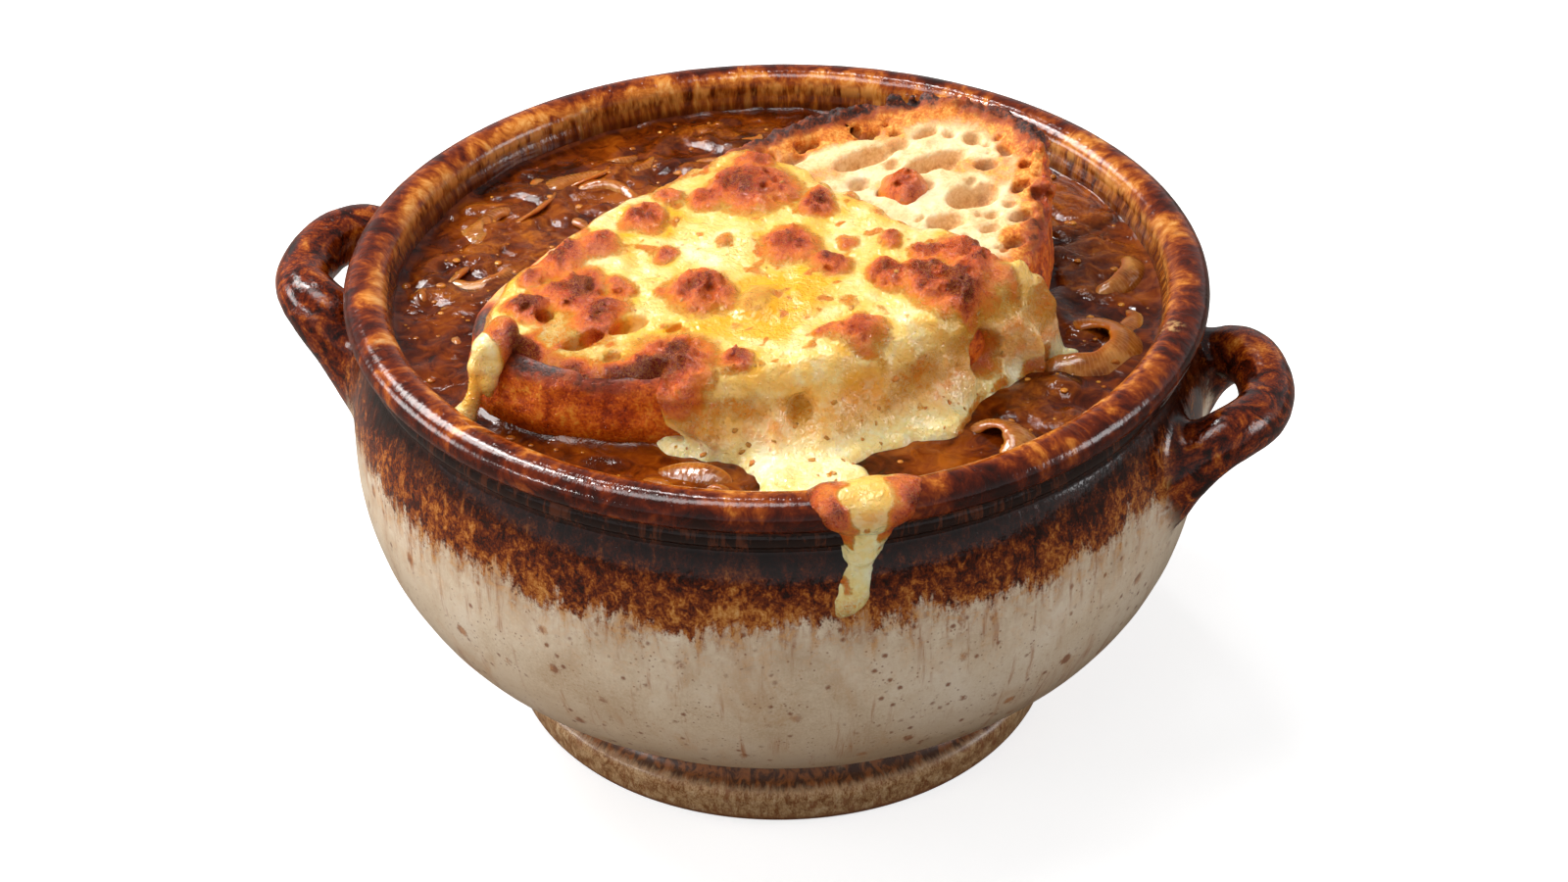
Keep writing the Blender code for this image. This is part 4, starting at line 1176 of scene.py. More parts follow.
# --------------------------------------------------------------------------
# bread piece
# --------------------------------------------------------------------------
def bread_material():
    m = Nodes("toasted_bread")
    mm = m.scaled(m.coords, (1000.0, 1000.0, 1000.0))
    crust, char, toast, hole_shade = m.attr("crust"), m.attr("char"), m.attr("toast"), m.attr("hole_shade")
    big = m.noise(mm, 0.14, 4.0, 0.6, 0.5)
    mid = m.noise(mm, 0.55, 4.0, 0.62, 0.3)
    fine = m.noise(mm, 2.2, 3.0, 0.6)
    crumb = m.ramp(m.add(m.mul(big, 0.45), m.add(m.mul(mid, 0.35), m.mul(fine, 0.2))), [
        (0.38, srgb(226, 176, 112)), (0.50, srgb(244, 212, 158)), (0.62, srgb(252, 232, 190)),
    ])
    browned = m.ramp(m.add(m.mul(mid, 0.6), m.mul(fine, 0.4)), [
        (0.36, srgb(178, 76, 12)), (0.50, srgb(226, 130, 36)), (0.64, srgb(246, 184, 92)),
    ])
    colour = m.mix(m.step(m.add(toast, m.mul(m.sub(mid, 0.5), 0.9)), 0.25, 0.75), crumb, browned)
    # painted shade in the crumb holes, deepening towards their bottoms: a darker beige, going dark brown where the
    # crumb around is toasted
    wall = m.ramp(m.add(m.mul(mid, 0.6), m.mul(fine, 0.4)), [
        (0.36, srgb(186, 126, 66)), (0.50, srgb(216, 162, 98)), (0.64, srgb(236, 194, 134)),
    ])
    colour = m.mix(m.mul(hole_shade, 0.92), colour, m.mix(m.step(toast, 0.3, 0.8), wall, srgb(92, 34, 8)))
    side = m.ramp(m.add(m.mul(big, 0.4), m.add(m.mul(mid, 0.35), m.mul(fine, 0.25))), [
        (0.36, srgb(108, 28, 1)), (0.45, srgb(178, 62, 3)), (0.53, srgb(226, 104, 12)),
        (0.60, srgb(242, 148, 42)), (0.74, srgb(250, 190, 98)),
    ])
    colour = m.mix(m.step(m.add(crust, m.mul(m.sub(mid, 0.5), 0.5)), 0.35, 0.70), colour, side)
    burnt = m.ramp(m.add(m.mul(mid, 0.5), m.mul(fine, 0.5)), [
        (0.38, srgb(22, 9, 5)), (0.48, srgb(50, 20, 10)), (0.57, srgb(104, 40, 12)), (0.68, srgb(160, 74, 24)),
    ])
    singed = m.step(m.add(char, m.mul(m.sub(big, 0.5), 1.1)), 0.14, 0.50)
    colour = m.mix(m.mul(singed, 0.8), colour, srgb(138, 46, 6))
    amount = m.step(m.add(char, m.mul(m.sub(m.add(m.mul(mid, 0.6), m.mul(big, 0.4)), 0.5), 2.2)), 0.46, 0.78)
    colour = m.mix(amount, colour, burnt)
    sep = m.node("ShaderNodeSeparateXYZ")
    m.put(sep.inputs[0], mm)
    soaked = m.step(m.add(sep.outputs[2], m.mul(m.sub(big, 0.5), 7.0)), 84.5, 79.5)
    colour = m.mix(m.mul(soaked, 0.55), colour, srgb(112, 40, 4))
    rough = m.blend(soaked, m.add(0.42, m.mul(mid, 0.3)), 0.16)
    rough = m.blend(m.step(crust, 0.6, 0.2), rough, m.add(0.50, m.mul(mid, 0.3)))
    pores = m.cells(mm, 1.5)
    a = m.bump(m.add(m.mul(mid, 0.7), m.mul(fine, 0.5)), 0.30, 0.6)
    b = m.bump(m.step(pores, 0.30, 0.08), -0.14, m.blend(m.step(hole_shade, 0.1, 0.5), 0.6, 0.0), a)
    return m.finish(
        Base_Color=colour, Roughness=rough, IOR=1.45, Normal=b,
        Subsurface_Weight=m.mul(m.step(crust, 0.5, 0.1), 0.22), Subsurface_Radius=(1.0, 0.55, 0.25),
        Subsurface_Scale=0.0018, Coat_Weight=m.mul(m.step(crust, 0.5, 0.9), 0.30), Coat_Roughness=0.14, Coat_Normal=b,
    )


# painted shade for the crumb holes: 0 at the lip, growing with depth towards each hole's bottom
def painted_hole_shade(p, holes, grow=0.0):
    u, v = to_uv(p)
    w = p[:, 2] - bread_plane(p[:, 0], p[:, 1])
    best = np.zeros(len(p))
    for hu, hv, a, b, depth in holes:
        near = (np.abs(u - hu) < a + 1.5) & (np.abs(v - hv) < b + 1.5) & (w < 1.0) & (w > -depth - 2)
        if near.any():
            q = np.stack([(u[near] - hu) / (a + grow), (v[near] - hv) / (b + grow), (w[near] + 0.25) / (depth + grow)], 1)
            inside = smooth(1.25, 1.0, np.linalg.norm(q, axis=1))
            deep = 0.35 * smooth(-0.2, -0.9, w[near]) + 0.65 * smooth(-0.9, -0.9 - 0.6 * depth, w[near])
            best[near] = np.maximum(best[near], inside * deep)
    return best


def bread_piece():
    v, f = carve(bread_field, (-50, -58, 66), (54, 44, 103), 0.52)
    u, t = to_uv(v)
    w = v[:, 2] - bread_plane(v[:, 0], v[:, 1])
    out = outline_dist(u, t)
    a = bread_angle(u, t)
    curl = edge_curl(u, t, out)
    crust = np.maximum(smooth(-1.2, -0.2, out + 0.6 * vnoise(v, 0.3, 111)), smooth(-1.6, -3.4, w - curl) * smooth(-6, -1.0, out))
    crust = np.maximum(crust, smooth(-6.0, -9.0, w))
    back = np.maximum.reduce([bump(a, 48.0, 46.0), bump(a, 4.0, 34.0), 0.9 * bump(a, -34.0, 18.0), 0.35 * bump(a, 95.0, 20.0)])
    front = np.maximum(bump(np.abs(a), 168.0, 13.0), 0.9 * bump(a, -147.0, 10.0))
    rim = bump(out, -1.3, 2.4) * smooth(-4.4, -1.4, w - curl)
    char = rim * np.clip(1.15 * back + 0.9 * front, 0, 1.15)
    char = char * (0.78 + 0.75 * fbm(v, 0.12, 2, 113))
    toast = smooth(-11.5, -2.5, out + 3.0 * vnoise(v, 0.2, 115)) * np.clip(0.55 + 0.7 * back, 0, 1)
    toast = np.maximum(toast, 0.60 * smooth(0.42, 0.8, 0.5 + 0.5 * fbm(v, 0.14, 2, 117)))
    # painted shade in the crumb holes
    hole_shade = np.maximum(painted_hole_shade(v, HOLES), 0.9 * painted_hole_shade(v, SMALL_HOLES))
    crust = np.maximum(crust, smooth(-4.2, -2.2, out) * np.clip(front + bump(a, -120.0, 26.0), 0, 1))
    piece = mesh_object("bread_slice", v, f, {"crust": crust, "char": char, "toast": toast, "hole_shade": hole_shade}, None, bread_material())
    return shown(piece, "bread")


# --------------------------------------------------------------------------
# cheese piece
# --------------------------------------------------------------------------
def cheese_material():
    m = Nodes("melted_cheese")
    mm = m.scaled(m.coords, (1000.0, 1000.0, 1000.0))
    brown, gold, wet, pink = m.attr("brown"), m.attr("gold"), m.attr("wet"), m.attr("pink")
    big = m.noise(mm, 0.11, 3.0, 0.55, 0.6)
    mid = m.noise(mm, 0.50, 4.0, 0.6, 0.5)
    fine = m.noise(mm, 1.9, 4.0, 0.62, 0.4)
    web = m.noise(mm, 1.1, 5.0, 0.7, 1.6)
    pale = m.ramp(m.add(m.mul(big, 0.6), m.mul(mid, 0.4)), [
        (0.36, srgb(252, 190, 84)), (0.48, srgb(253, 209, 118)), (0.62, srgb(255, 233, 176)),
    ])
    pale = m.mix(m.step(m.add(gold, m.mul(m.sub(mid, 0.5), 0.7)), 0.10, 0.85), pale, srgb(251, 176, 14))
    pool = m.ramp(m.add(m.mul(big, 0.6), m.mul(mid, 0.4)), [
        (0.36, srgb(248, 204, 112)), (0.48, srgb(254, 228, 156)), (0.60, srgb(255, 242, 196)),
    ])
    pale = m.mix(wet, pale, pool)
    flesh = m.mix(m.step(mid, 0.42, 0.60), srgb(244, 152, 60), srgb(254, 204, 140))
    pale = m.mix(m.mul(pink, m.step(m.add(big, m.mul(mid, 0.5)), 0.58, 0.86, 0.25, 0.85)), pale, flesh)
    amount = m.add(brown, m.mul(m.sub(m.add(m.mul(web, 0.5), m.add(m.mul(mid, 0.3), m.mul(big, 0.2))), 0.5), 1.35))
    amount = m.mul(amount, m.step(brown, 0.02, 0.24))
    # this ramp also colours the painted shade inside the curtain's dent and cave
    baked = m.ramp(amount, [
        (0.10, srgb(255, 200, 90)), (0.26, srgb(255, 172, 48)), (0.42, srgb(254, 140, 22)),
        (0.58, srgb(238, 106, 8)), (0.75, srgb(206, 72, 2)), (0.92, srgb(162, 44, 1)), (1.0, srgb(122, 26, 0)),
    ])
    vein = m.mul(m.step(m.math("ABSOLUTE", m.sub(web, 0.5)), 0.035, 0.0), m.step(amount, 0.30, 0.60))
    baked = m.mix(m.mul(vein, 0.45), baked, srgb(255, 164, 54))
    colour = m.mix(m.step(amount, 0.03, 0.36), pale, baked)
    freckle = m.mul(m.step(m.cells(mm, 0.55), 0.26, 0.10), m.step(m.noise(mm, 0.23, 2.0, 0.5), 0.54, 0.64))
    colour = m.mix(m.mul(freckle, 0.55), colour, srgb(196, 112, 34))
    rough = m.blend(m.step(amount, 0.15, 0.6), m.add(0.12, m.mul(fine, 0.16)), m.add(0.14, m.mul(fine, 0.20)))
    blister = m.step(amount, 0.10, 0.45)
    pearl = m.noise(mm, 1.05, 2.0, 0.45, 0.6)
    a = m.bump(m.add(m.mul(mid, 0.35), m.add(m.mul(pearl, 0.75), m.mul(fine, 0.12))), 0.46, 1.0)
    b = m.bump(m.mul(web, blister), 0.8, 1.0, a)
    c = m.bump(m.step(m.cells(mm, 1.3), 0.26, 0.05), 0.16, 0.8, b)
    return m.finish(
        Base_Color=colour, Roughness=rough, IOR=1.46, Normal=c,
        Subsurface_Weight=m.blend(m.step(amount, 0.1, 0.7), 0.42, 0.22), Subsurface_Radius=(1.0, 0.62, 0.22),
        Specular_IOR_Level=m.blend(m.step(amount, 0.60, 0.95), 0.5, 0.25),
        Subsurface_Scale=0.0026, Coat_Weight=m.blend(m.step(amount, 0.60, 0.95), 0.75, 0.40), Coat_Roughness=0.05, Coat_IOR=1.5, Coat_Normal=c,
    )


def cheese_piece():
    v, f = carve(cheese_field, (-48, -80, 62), (60, 40, 104), 0.60)
    c, hang, u, t, w, out, a = cheese_depth(v)
    top = smooth(-5.5, -1.5, w) * smooth(1.5, 0.3, out)
    near = np.stack([u, t, 0 * u], 1)
    _, baked, halo = blisters(u, t)
    brown = 1.0 * baked * smooth(-8.0, -3.0, w)
    brown = np.clip(brown + 0.30 * brown * fbm(v, 0.30, 2, 122), 0, 1.05)
    specks = np.maximum(smooth(0.40, 0.66, fbm(near, 0.16, 2, 125)), smooth(0.36, 0.60, fbm(near, 0.42, 2, 126))) * 0.42 * top
    brown = np.maximum(brown, specks)
    brown = brown + 0.35 * smooth(-24.0, -46.0, u) * top * (0.5 + 0.5 * vnoise(near, 0.12, 127))
    brown = brown + 0.30 * smooth(2.6, 0.4, c) * top
    ridge = bump(t, -28.0, 4.5) * smooth(6.0, 14.0, u) * smooth(31.0, 25.0, u) * smooth(-7.5, -2.0, w)
    brown = np.maximum(brown, 0.8 * ridge * (0.75 + 0.4 * vnoise(near, 0.3, 129)))
    folds = smooth(-1.0, 2.0, out) * smooth(0.0, 3.0, hang)
    patches = smooth(0.20, 0.75, fbm(v, (0.22, 0.22, 0.16), 3, 131)) * folds * smooth(-14.0, -6.0, w)
    brown = np.maximum(brown, 0.34 * patches)
    turn = smooth(1.5, -3.0, w) * smooth(-14.0, -6.0, w) * smooth(-5.0, -1.0, out) * smooth(0.0, 3.0, hang)
    brown = np.maximum(brown, 0.34 * turn * smooth(-0.6, 0.9, fbm(v, 0.12, 3, 132)))
    pool = pool_depth(v[:, 0], v[:, 1])
    around = np.radians(a) * 38.0
    # painted shade inside the dent and the cave in the curtain, laid in as extra browning
    brown = np.maximum(brown, 0.30 * folds * hollow(around, w, DENT) * smooth(-9.8, -8.2, w))
    brown = np.maximum(brown, 0.75 * folds * hollow(around, w, (CAVE[0], CAVE[1], 2.3, 4.0)))
    low = smooth(84.5, 81.0, v[:, 2])
    wet = np.maximum(low, smooth(-6.0, -12.0, w) * folds)
    brown = np.maximum(brown, 0.40 * low * smooth(1.4, 0.2, pool) * smooth(0.2, 0.6, vnoise(v, 0.22, 133)))
    brown = np.maximum(brown, 0.5 * low * smooth(0.60, 0.80, fbm(v, 0.30, 2, 135)))
    r = np.hypot(v[:, 0], v[:, 1])
    az = np.degrees(np.arctan2(v[:, 1], v[:, 0]))
    on_rim = smooth(66.5, 68.0, r) * smooth(-40.0, -50.0, v[:, 1])
    side = np.abs(run_side(v)) / run_half(v[:, 2], smooth(RIM_R - 1.5, RIM_R + 1.5, r))
    flank = smooth(0.28, 0.66, side + 0.20 * vnoise(v, 0.35, 136)) * smooth(76.5, 80.0, v[:, 2])
    drip = 0.92 * flank * (0.85 + 0.45 * vnoise(v, 0.35, 137)) + 0.20 * smooth(76.0, 66.0, v[:, 2])
    drip = np.maximum(drip, 0.62 * smooth(0.25, 0.60, fbm(v, 0.34, 2, 134)) * smooth(84.5, 82.0, v[:, 2]))
    brown = np.where(on_rim > 0, brown * (1 - on_rim) + on_rim * drip, brown)
    corner = smooth(5.0, 2.5, chain(v, STRANDS[0][0], STRANDS[0][1])) * smooth(-2.0, -5.0, w)
    brown = np.maximum(brown, corner * np.clip(0.30 + 0.40 * vnoise(v, 0.3, 138), 0, 1))
    gold = smooth(0.10, 0.60, fbm(near, 0.06, 3, 139) + 0.75 * bump(u, -8.0, 18.0) * bump(t, -13.0, 11.0)) * top
    gold = np.maximum(gold, 0.85 * halo * (0.75 + 0.5 * vnoise(near, 0.3, 140)) * smooth(-9.0, -4.0, w))
    gold = np.maximum(gold, 0.60 * smooth(1.0, -2.0, w) * smooth(-12.0, -5.0, w) * smooth(-5.0, -1.0, out) * smooth(-0.2, 0.5, fbm(near, 0.10, 2, 142)))
    piece = mesh_object(
        "cheese_melt", v, f, {"brown": brown, "gold": gold, "wet": wet, "pink": folds * smooth(-2.0, -5.0, w) * smooth(80.5, 84.5, v[:, 2])},
        None, cheese_material(),
    )
    return shown(piece, "cheese")


# --------------------------------------------------------------------------
# broth and the onions in it
# --------------------------------------------------------------------------
WELL_R = 67.15


def arc_line(centre, radii, turn, sweep, n=28):
    t = np.radians(np.linspace(sweep[0], sweep[1], n))
    x, y = radii[0] * np.cos(t), radii[1] * np.sin(t)
    c, s = math.cos(math.radians(turn)), math.sin(math.radians(turn))
    return np.stack([centre[0] + x * c - y * s, centre[1] + x * s + y * c, np.full(n, centre[2])], 1)


def free_of_bread(x, y, gap):
    p = np.stack([x, y, np.full(len(np.atleast_1d(x)), SOUP_Z)], 1)
    return bread_core(p) > gap


ONIONS = {
    "onion_half_ring_right": ((53.4, -6.2, 79.4), (9.8, 8.2), 25.0, (-150.0, 95.0), (3.9, 1.3), -50.0),
    "onion_half_ring_front": ((44.4, -37.4, 79.0), (5.8, 5.4), 0.0, (-75.0, 150.0), (3.5, 1.3), -46.0),
    "onion_petal_back_right": ((55.0, 18.6, 79.0), (7.8, 4.6), 72.0, (-170.0, 20.0), (2.5, 1.2), -48.0),
    "onion_petal_front": ((-1.5, -60.6, 78.7), (6.0, 3.2), 5.0, (5.0, 175.0), (3.0, 1.1), 62.0),
    "onion_petal_left": ((-54.5, 12.0, 78.8), (7.0, 4.6), 75.0, (-10.0, 180.0), (3.2, 1.1), -60.0),
    "onion_petal_back_left": ((-43.6, 29.4, 78.9), (7.6, 4.6), 40.0, (10.0, 190.0), (3.2, 1.1), -60.0),
}

_or = np.random.RandomState(911)


def scatter_strands():
    """More onion in the soup: x, y, z, radii, turn, sweep, half sizes, tilt."""
    out = []
    taken = [(s[0][0], s[0][1], max(s[1])) for s in ONIONS.values()]
    tries = 0
    while len(out) < 120 and tries < 12000:
        tries += 1
        a = _or.uniform(0, 2 * PI)
        r = math.sqrt(_or.uniform(30.0 ** 2, 64.0 ** 2))
        x, y = r * math.cos(a), r * math.sin(a)
        big = _or.uniform(4.0, 10.5)
        radii = (big, big * _or.uniform(0.6, 0.95))
        turn = _or.uniform(0, 360)
        start = _or.uniform(0, 360)
        sweep = (start, start + _or.uniform(100, 190))
        under = len(out) % 5 > 1
        half = (_or.uniform(2.4, 3.6), _or.uniform(1.0, 1.5) if not under else _or.uniform(1.2, 2.4))
        z = SOUP_Z + (_or.uniform(-0.9, -0.2) if under else _or.uniform(-1.7, -1.0))
        line = arc_line((x, y, z), radii, turn, sweep, 16)
        rr = np.hypot(line[:, 0], line[:, 1])
        if rr.max() > 64.2 or not free_of_bread(line[:, 0], line[:, 1], 2.6 if not under else 0.6).all():
            continue
        if (pool_depth(line[:, 0], line[:, 1]) > -1.5).any():
            continue
        if not under and any(math.hypot(x - tx, y - ty) < 0.42 * (tr + big) for tx, ty, tr in taken):
            continue
        if not under:
            taken.append((x, y, big))
        out.append((under, line, half, _or.uniform(34, 60) * _or.choice([-1.0, -1.0, 1.0])))
    return out


STRANDS_IN_SOUP = scatter_strands()


def band(line, half, tilt, around=14):
    """A ribbon of onion: a thin curved section swept along a line, thinning at its ends."""
    n = len(line)
    tangent = np.gradient(line, axis=0)
    tangent /= np.linalg.norm(tangent, axis=1, keepdims=True)
    up = np.array([0.0, 0.0, 1.0])
    side = np.cross(tangent, up)
    side /= np.linalg.norm(side, axis=1, keepdims=True)
    t = np.linspace(0.0, 1.0, n)
    arc = np.concatenate([[0.0], np.cumsum(np.linalg.norm(np.diff(line, axis=0), axis=1))])
    lean = np.radians(tilt + 10.0 * np.sin(arc * 0.11 + tilt))[:, None]
    tall = np.cos(lean) * up + np.sin(lean) * side
    flat = np.cross(tangent, tall)
    taper = np.sin(PI * np.clip(np.minimum(t, 1 - t) * 4.0, 0, 0.5)) ** 0.7
    angle = np.linspace(0, 2 * PI, around + 1)[:-1]
    ca, sa = np.cos(angle), np.sin(angle)
    h = half[0] * (0.30 + 0.70 * taper) * (1.0 + 0.08 * np.sin(arc * 0.35 + tilt) + 0.03 * np.sin(arc * 0.9))
    w = 0.66 * half[1] * (0.45 + 0.55 * taper) * (1.0 + 0.10 * np.sin(arc * 0.6 + 2.0 * tilt))
    w = w * (1.0 + 0.015 * np.sin(arc * 2 * PI / 1.1))
    square = np.sign(ca) * np.abs(ca) ** 0.7
    thin = np.abs(sa) ** 0.55 * np.sign(sa) * (1.0 - 0.20 * ca)
    verts = (
        line[:, None, :]
        + (h[:, None] * square)[..., None] * tall[:, None, :]
        + (w[:, None] * thin)[..., None] * flat[:, None, :]
        - (math.copysign(0.26, -tilt) * h[:, None] * ca ** 2)[..., None] * flat[:, None, :]
    ).reshape(-1, 3)
    i, j = np.meshgrid(np.arange(n - 1), np.arange(around), indexing="ij")
    k = (j + 1) % around
    faces = np.stack([i * around + j, i * around + k, (i + 1) * around + k, (i + 1) * around + j], -1).reshape(-1, 4)
    even = np.arange(0, around, 2)
    end = (n - 1) * around
    m = len(verts)
    verts = np.vstack([verts, [verts[:around].mean(0) - 0.2 * tangent[0], verts[end:].mean(0) + 0.2 * tangent[-1]]])
    faces = np.vstack([
        faces,
        np.stack([np.full(len(even), m), (even + 2) % around, even + 1, even], 1),
        np.stack([np.full(len(even), m + 1), end + even, end + even + 1, end + (even + 2) % around], 1),
    ])
    s_attr = np.concatenate([np.repeat(arc, around), [arc[0], arc[-1]]])
    q_attr = np.concatenate([np.tile(ca, n), [0, 0]])
    return verts, turned_out(verts, faces), s_attr, q_attr


def onion_material():
    m = Nodes("cooked_onion")
    mm = m.scaled(m.coords, (1000.0, 1000.0, 1000.0))
    s, q = m.attr("run"), m.attr("across")
    big = m.noise(mm, 0.16, 3.0, 0.55, 0.4)
    fine = m.noise(mm, 1.2, 3.0, 0.6)
    lines = m.math("SINE", m.add(m.mul(s, 2 * PI / 0.8), m.add(m.mul(fine, 3.0), m.mul(big, 14.0))))
    colour = m.ramp(m.add(m.mul(big, 0.8), m.mul(fine, 0.2)), [
        (0.36, srgb(116, 54, 8)), (0.50, srgb(160, 92, 26)), (0.64, srgb(200, 140, 68)),
    ])
    colour = m.mix(m.step(lines, 0.2, 1.0, 0.0, 0.16), colour, srgb(216, 160, 92))
    colour = m.mix(m.step(m.math("ABSOLUTE", q), 0.60, 0.98, 0.0, 0.75), colour, srgb(172, 92, 6))
    bump = m.bump(lines, 0.008, 0.3)
    bump = m.bump(fine, 0.12, 0.5, bump)
    return m.finish(
        Base_Color=colour, Roughness=m.add(0.07, m.mul(fine, 0.1)), IOR=1.48, Normal=bump,
        Subsurface_Weight=0.5, Subsurface_Radius=(1.0, 0.42, 0.10), Subsurface_Scale=0.0022,
        Coat_Weight=0.5, Coat_Roughness=0.05, Coat_Normal=bump,
    )


def sag(line, seed):
    """The band isn't level: it dips under the soup at its ends."""
    t = np.linspace(-1, 1, len(line))
    out = line.copy()
    out[:, 2] += 0.30 - 2.1 * np.abs(t) ** 3.0 + 0.35 * np.sin(3.0 * t + seed)
    return out


def onion_pieces():
    material = onion_material()
    for k, (node, (centre, radii, turn, sweep, half, tilt)) in enumerate(ONIONS.items()):
        line = sag(arc_line(centre, radii, turn, sweep, 96), k)
        v, f, s, q = band(line, half, tilt, 24)
        v = v + 0.10 * np.stack([vnoise(v, 0.3, 141), vnoise(v, 0.3, 142), vnoise(v, 0.3, 143)], 1)
        shown(mesh_object(node + "_band", v, f, {"run": s, "across": q}, None, material), node)
    allv, allf, alls, allq = [], [], [], []
    base = 0
    for k, (under, line, half, tilt) in enumerate(STRANDS_IN_SOUP):
        if under:
            continue
        fine = np.stack([np.interp(np.linspace(0, 15, 46), np.arange(16), line[:, t]) for t in range(3)], 1)
        v, f, s, q = band(sag(fine, k), half, tilt, 14)
        v = v + 0.12 * np.stack([vnoise(v, 0.3, 145), vnoise(v, 0.3, 146), vnoise(v, 0.3, 147)], 1)
        allv.append(v)
        allf.append(f + base)
        alls.append(s)
        allq.append(q)
        base += len(v)
    shown(mesh_object(
        "onion_strands", np.vstack(allv), np.vstack(allf),
        {"run": np.concatenate(alls), "across": np.concatenate(allq)}, None, material), None)


def broth_material():
    m = Nodes("onion_broth")
    mm = m.scaled(m.coords, (1000.0, 1000.0, 1000.0))
    onion = m.attr("onion")
    big = m.noise(mm, 0.055, 3.0, 0.55, 0.8)
    mid = m.noise(mm, 0.30, 4.0, 0.6, 0.9)
    fine = m.noise(mm, 1.4, 3.0, 0.6)
    tone = m.add(m.mul(big, 0.55), m.mul(mid, 0.45))
    colour = m.ramp(tone, [
        (0.36, srgb(40, 11, 1)), (0.46, srgb(76, 25, 1)), (0.54, srgb(112, 46, 3)), (0.66, srgb(150, 76, 12)),
    ])
    sunk = m.ramp(m.add(m.mul(mid, 0.7), m.mul(fine, 0.3)), [
        (0.36, srgb(84, 32, 2)), (0.50, srgb(128, 60, 8)), (0.64, srgb(172, 98, 24)),
    ])
    colour = m.mix(m.mul(onion, 0.75), colour, sunk)
    bump = m.bump(m.add(mid, m.mul(fine, 0.10)), 0.34, 0.6)
    bump = m.bump(m.mul(onion, m.noise(m.scaled(mm, (1.0, 1.0, 0.2)), 0.7, 2.0, 0.5, 1.2)), 0.30, 0.6, bump)
    return m.finish(
        Base_Color=colour, Roughness=m.blend(onion, 0.05, 0.08), IOR=1.40, Normal=bump,
        Subsurface_Weight=0.22, Subsurface_Radius=(1.0, 0.4, 0.12), Subsurface_Scale=0.0022,
    )


def broth_height(x, y):
    p = np.stack([x, y, 0 * x], 1)
    z = SOUP_Z + 0.30 * fbm(p, 0.045, 2, 151) + 0.50 * fbm(p, 0.17, 2, 153) + 0.12 * fbm(p, 0.5, 2, 155)
    r = np.hypot(x, y)
    z = z + 0.85 * np.exp(-(WELL_R - r) / 0.7)
    q = np.stack([x, y, np.full(len(x), SOUP_Z)], 1)
    d = bread_core(q)
    z = z + 0.8 * np.exp(-np.maximum(d, 0) / 0.8)
    sunk = np.zeros(len(x))
    base = z.copy()
    for under, line, half, tilt in STRANDS_IN_SOUP:
        lo, hi = line.min(0) - 4.0, line.max(0) + 4.0
        near = (x > lo[0]) & (x < hi[0]) & (y > lo[1]) & (y < hi[1])
        if not near.any():
            continue
        px, py = x[near], y[near]
        best = np.full(len(px), 1e9)
        for a, b in zip(line[:-1], line[1:]):
            sx, sy = b[0] - a[0], b[1] - a[1]
            t = np.clip(((px - a[0]) * sx + (py - a[1]) * sy) / (sx * sx + sy * sy), 0, 1)
            best = np.minimum(best, np.hypot(px - a[0] - t * sx, py - a[1] - t * sy))
        wide = half[1] + (0.9 if under else 0.5)
        ridge = np.clip(1.0 - (best / wide) ** 2, 0.0, 1.0)
        if under:
            lean = (px - line[:, 0].mean()) * math.cos(tilt) + (py - line[:, 1].mean()) * math.sin(tilt)
            lean = np.clip(lean, -8.0, 8.0)
            rise = (0.85 + 0.12 * math.sin(tilt * 7.0)) * ridge ** 0.8 * (1.0 + 0.05 * lean)
            sunk[near] = np.maximum(sunk[near], smooth(0.0, 0.6, ridge) * (0.55 + 0.45 * math.sin(tilt * 3.0)))
            z[near] = np.maximum(z[near], base[near] + rise)
        else:
            z[near] = z[near] + 0.3 * np.exp(-np.maximum(best - 0.8, 0) / 0.7)
    return z, sunk


def broth_piece():
    around, rows = ((600, 120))
    theta = np.linspace(0, 2 * PI, around + 1)[:-1]
    t = np.linspace(0, 1, rows)
    r = WELL_R * (1.0 - (1.0 - t) ** 1.12) + 0.0
    r[0] = WELL_R * 0.012
    x = (r[:, None] * np.cos(theta)).ravel()
    y = (r[:, None] * np.sin(theta)).ravel()
    z, sunk = broth_height(x, y)
    verts = [np.stack([x, y, z], 1)]
    for rr, zz in ((67.25, 77.0), (67.6, 70.0), (67.9, 62.0), (66.6, 50.0), (60.0, 34.0), (44.0, 22.5), (20.0, 19.0)):
        verts.append(np.stack([rr * np.cos(theta), rr * np.sin(theta), np.full(around, zz)], 1))
    verts = np.vstack(verts)
    total = rows + 7
    i, j = np.meshgrid(np.arange(total - 1), np.arange(around), indexing="ij")
    k = (j + 1) % around
    faces = np.stack([i * around + j, i * around + k, (i + 1) * around + k, (i + 1) * around + j], -1).reshape(-1, 4)
    m = len(verts)
    verts = np.vstack([verts, [[0, 0, z[:around].mean()], [0, 0, 18.8]]])
    even = np.arange(0, around, 2)
    end = (total - 1) * around
    faces = np.vstack([
        faces,
        np.stack([np.full(len(even), m), (even + 2) % around, even + 1, even], 1),
        np.stack([np.full(len(even), m + 1), end + even, end + even + 1, end + (even + 2) % around], 1),
    ])
    onion = np.zeros(len(verts))
    onion[:len(sunk)] = sunk
    return shown(mesh_object("broth_surface", verts, turned_out(verts, faces), {"onion": onion}, None, broth_material()), "broth")


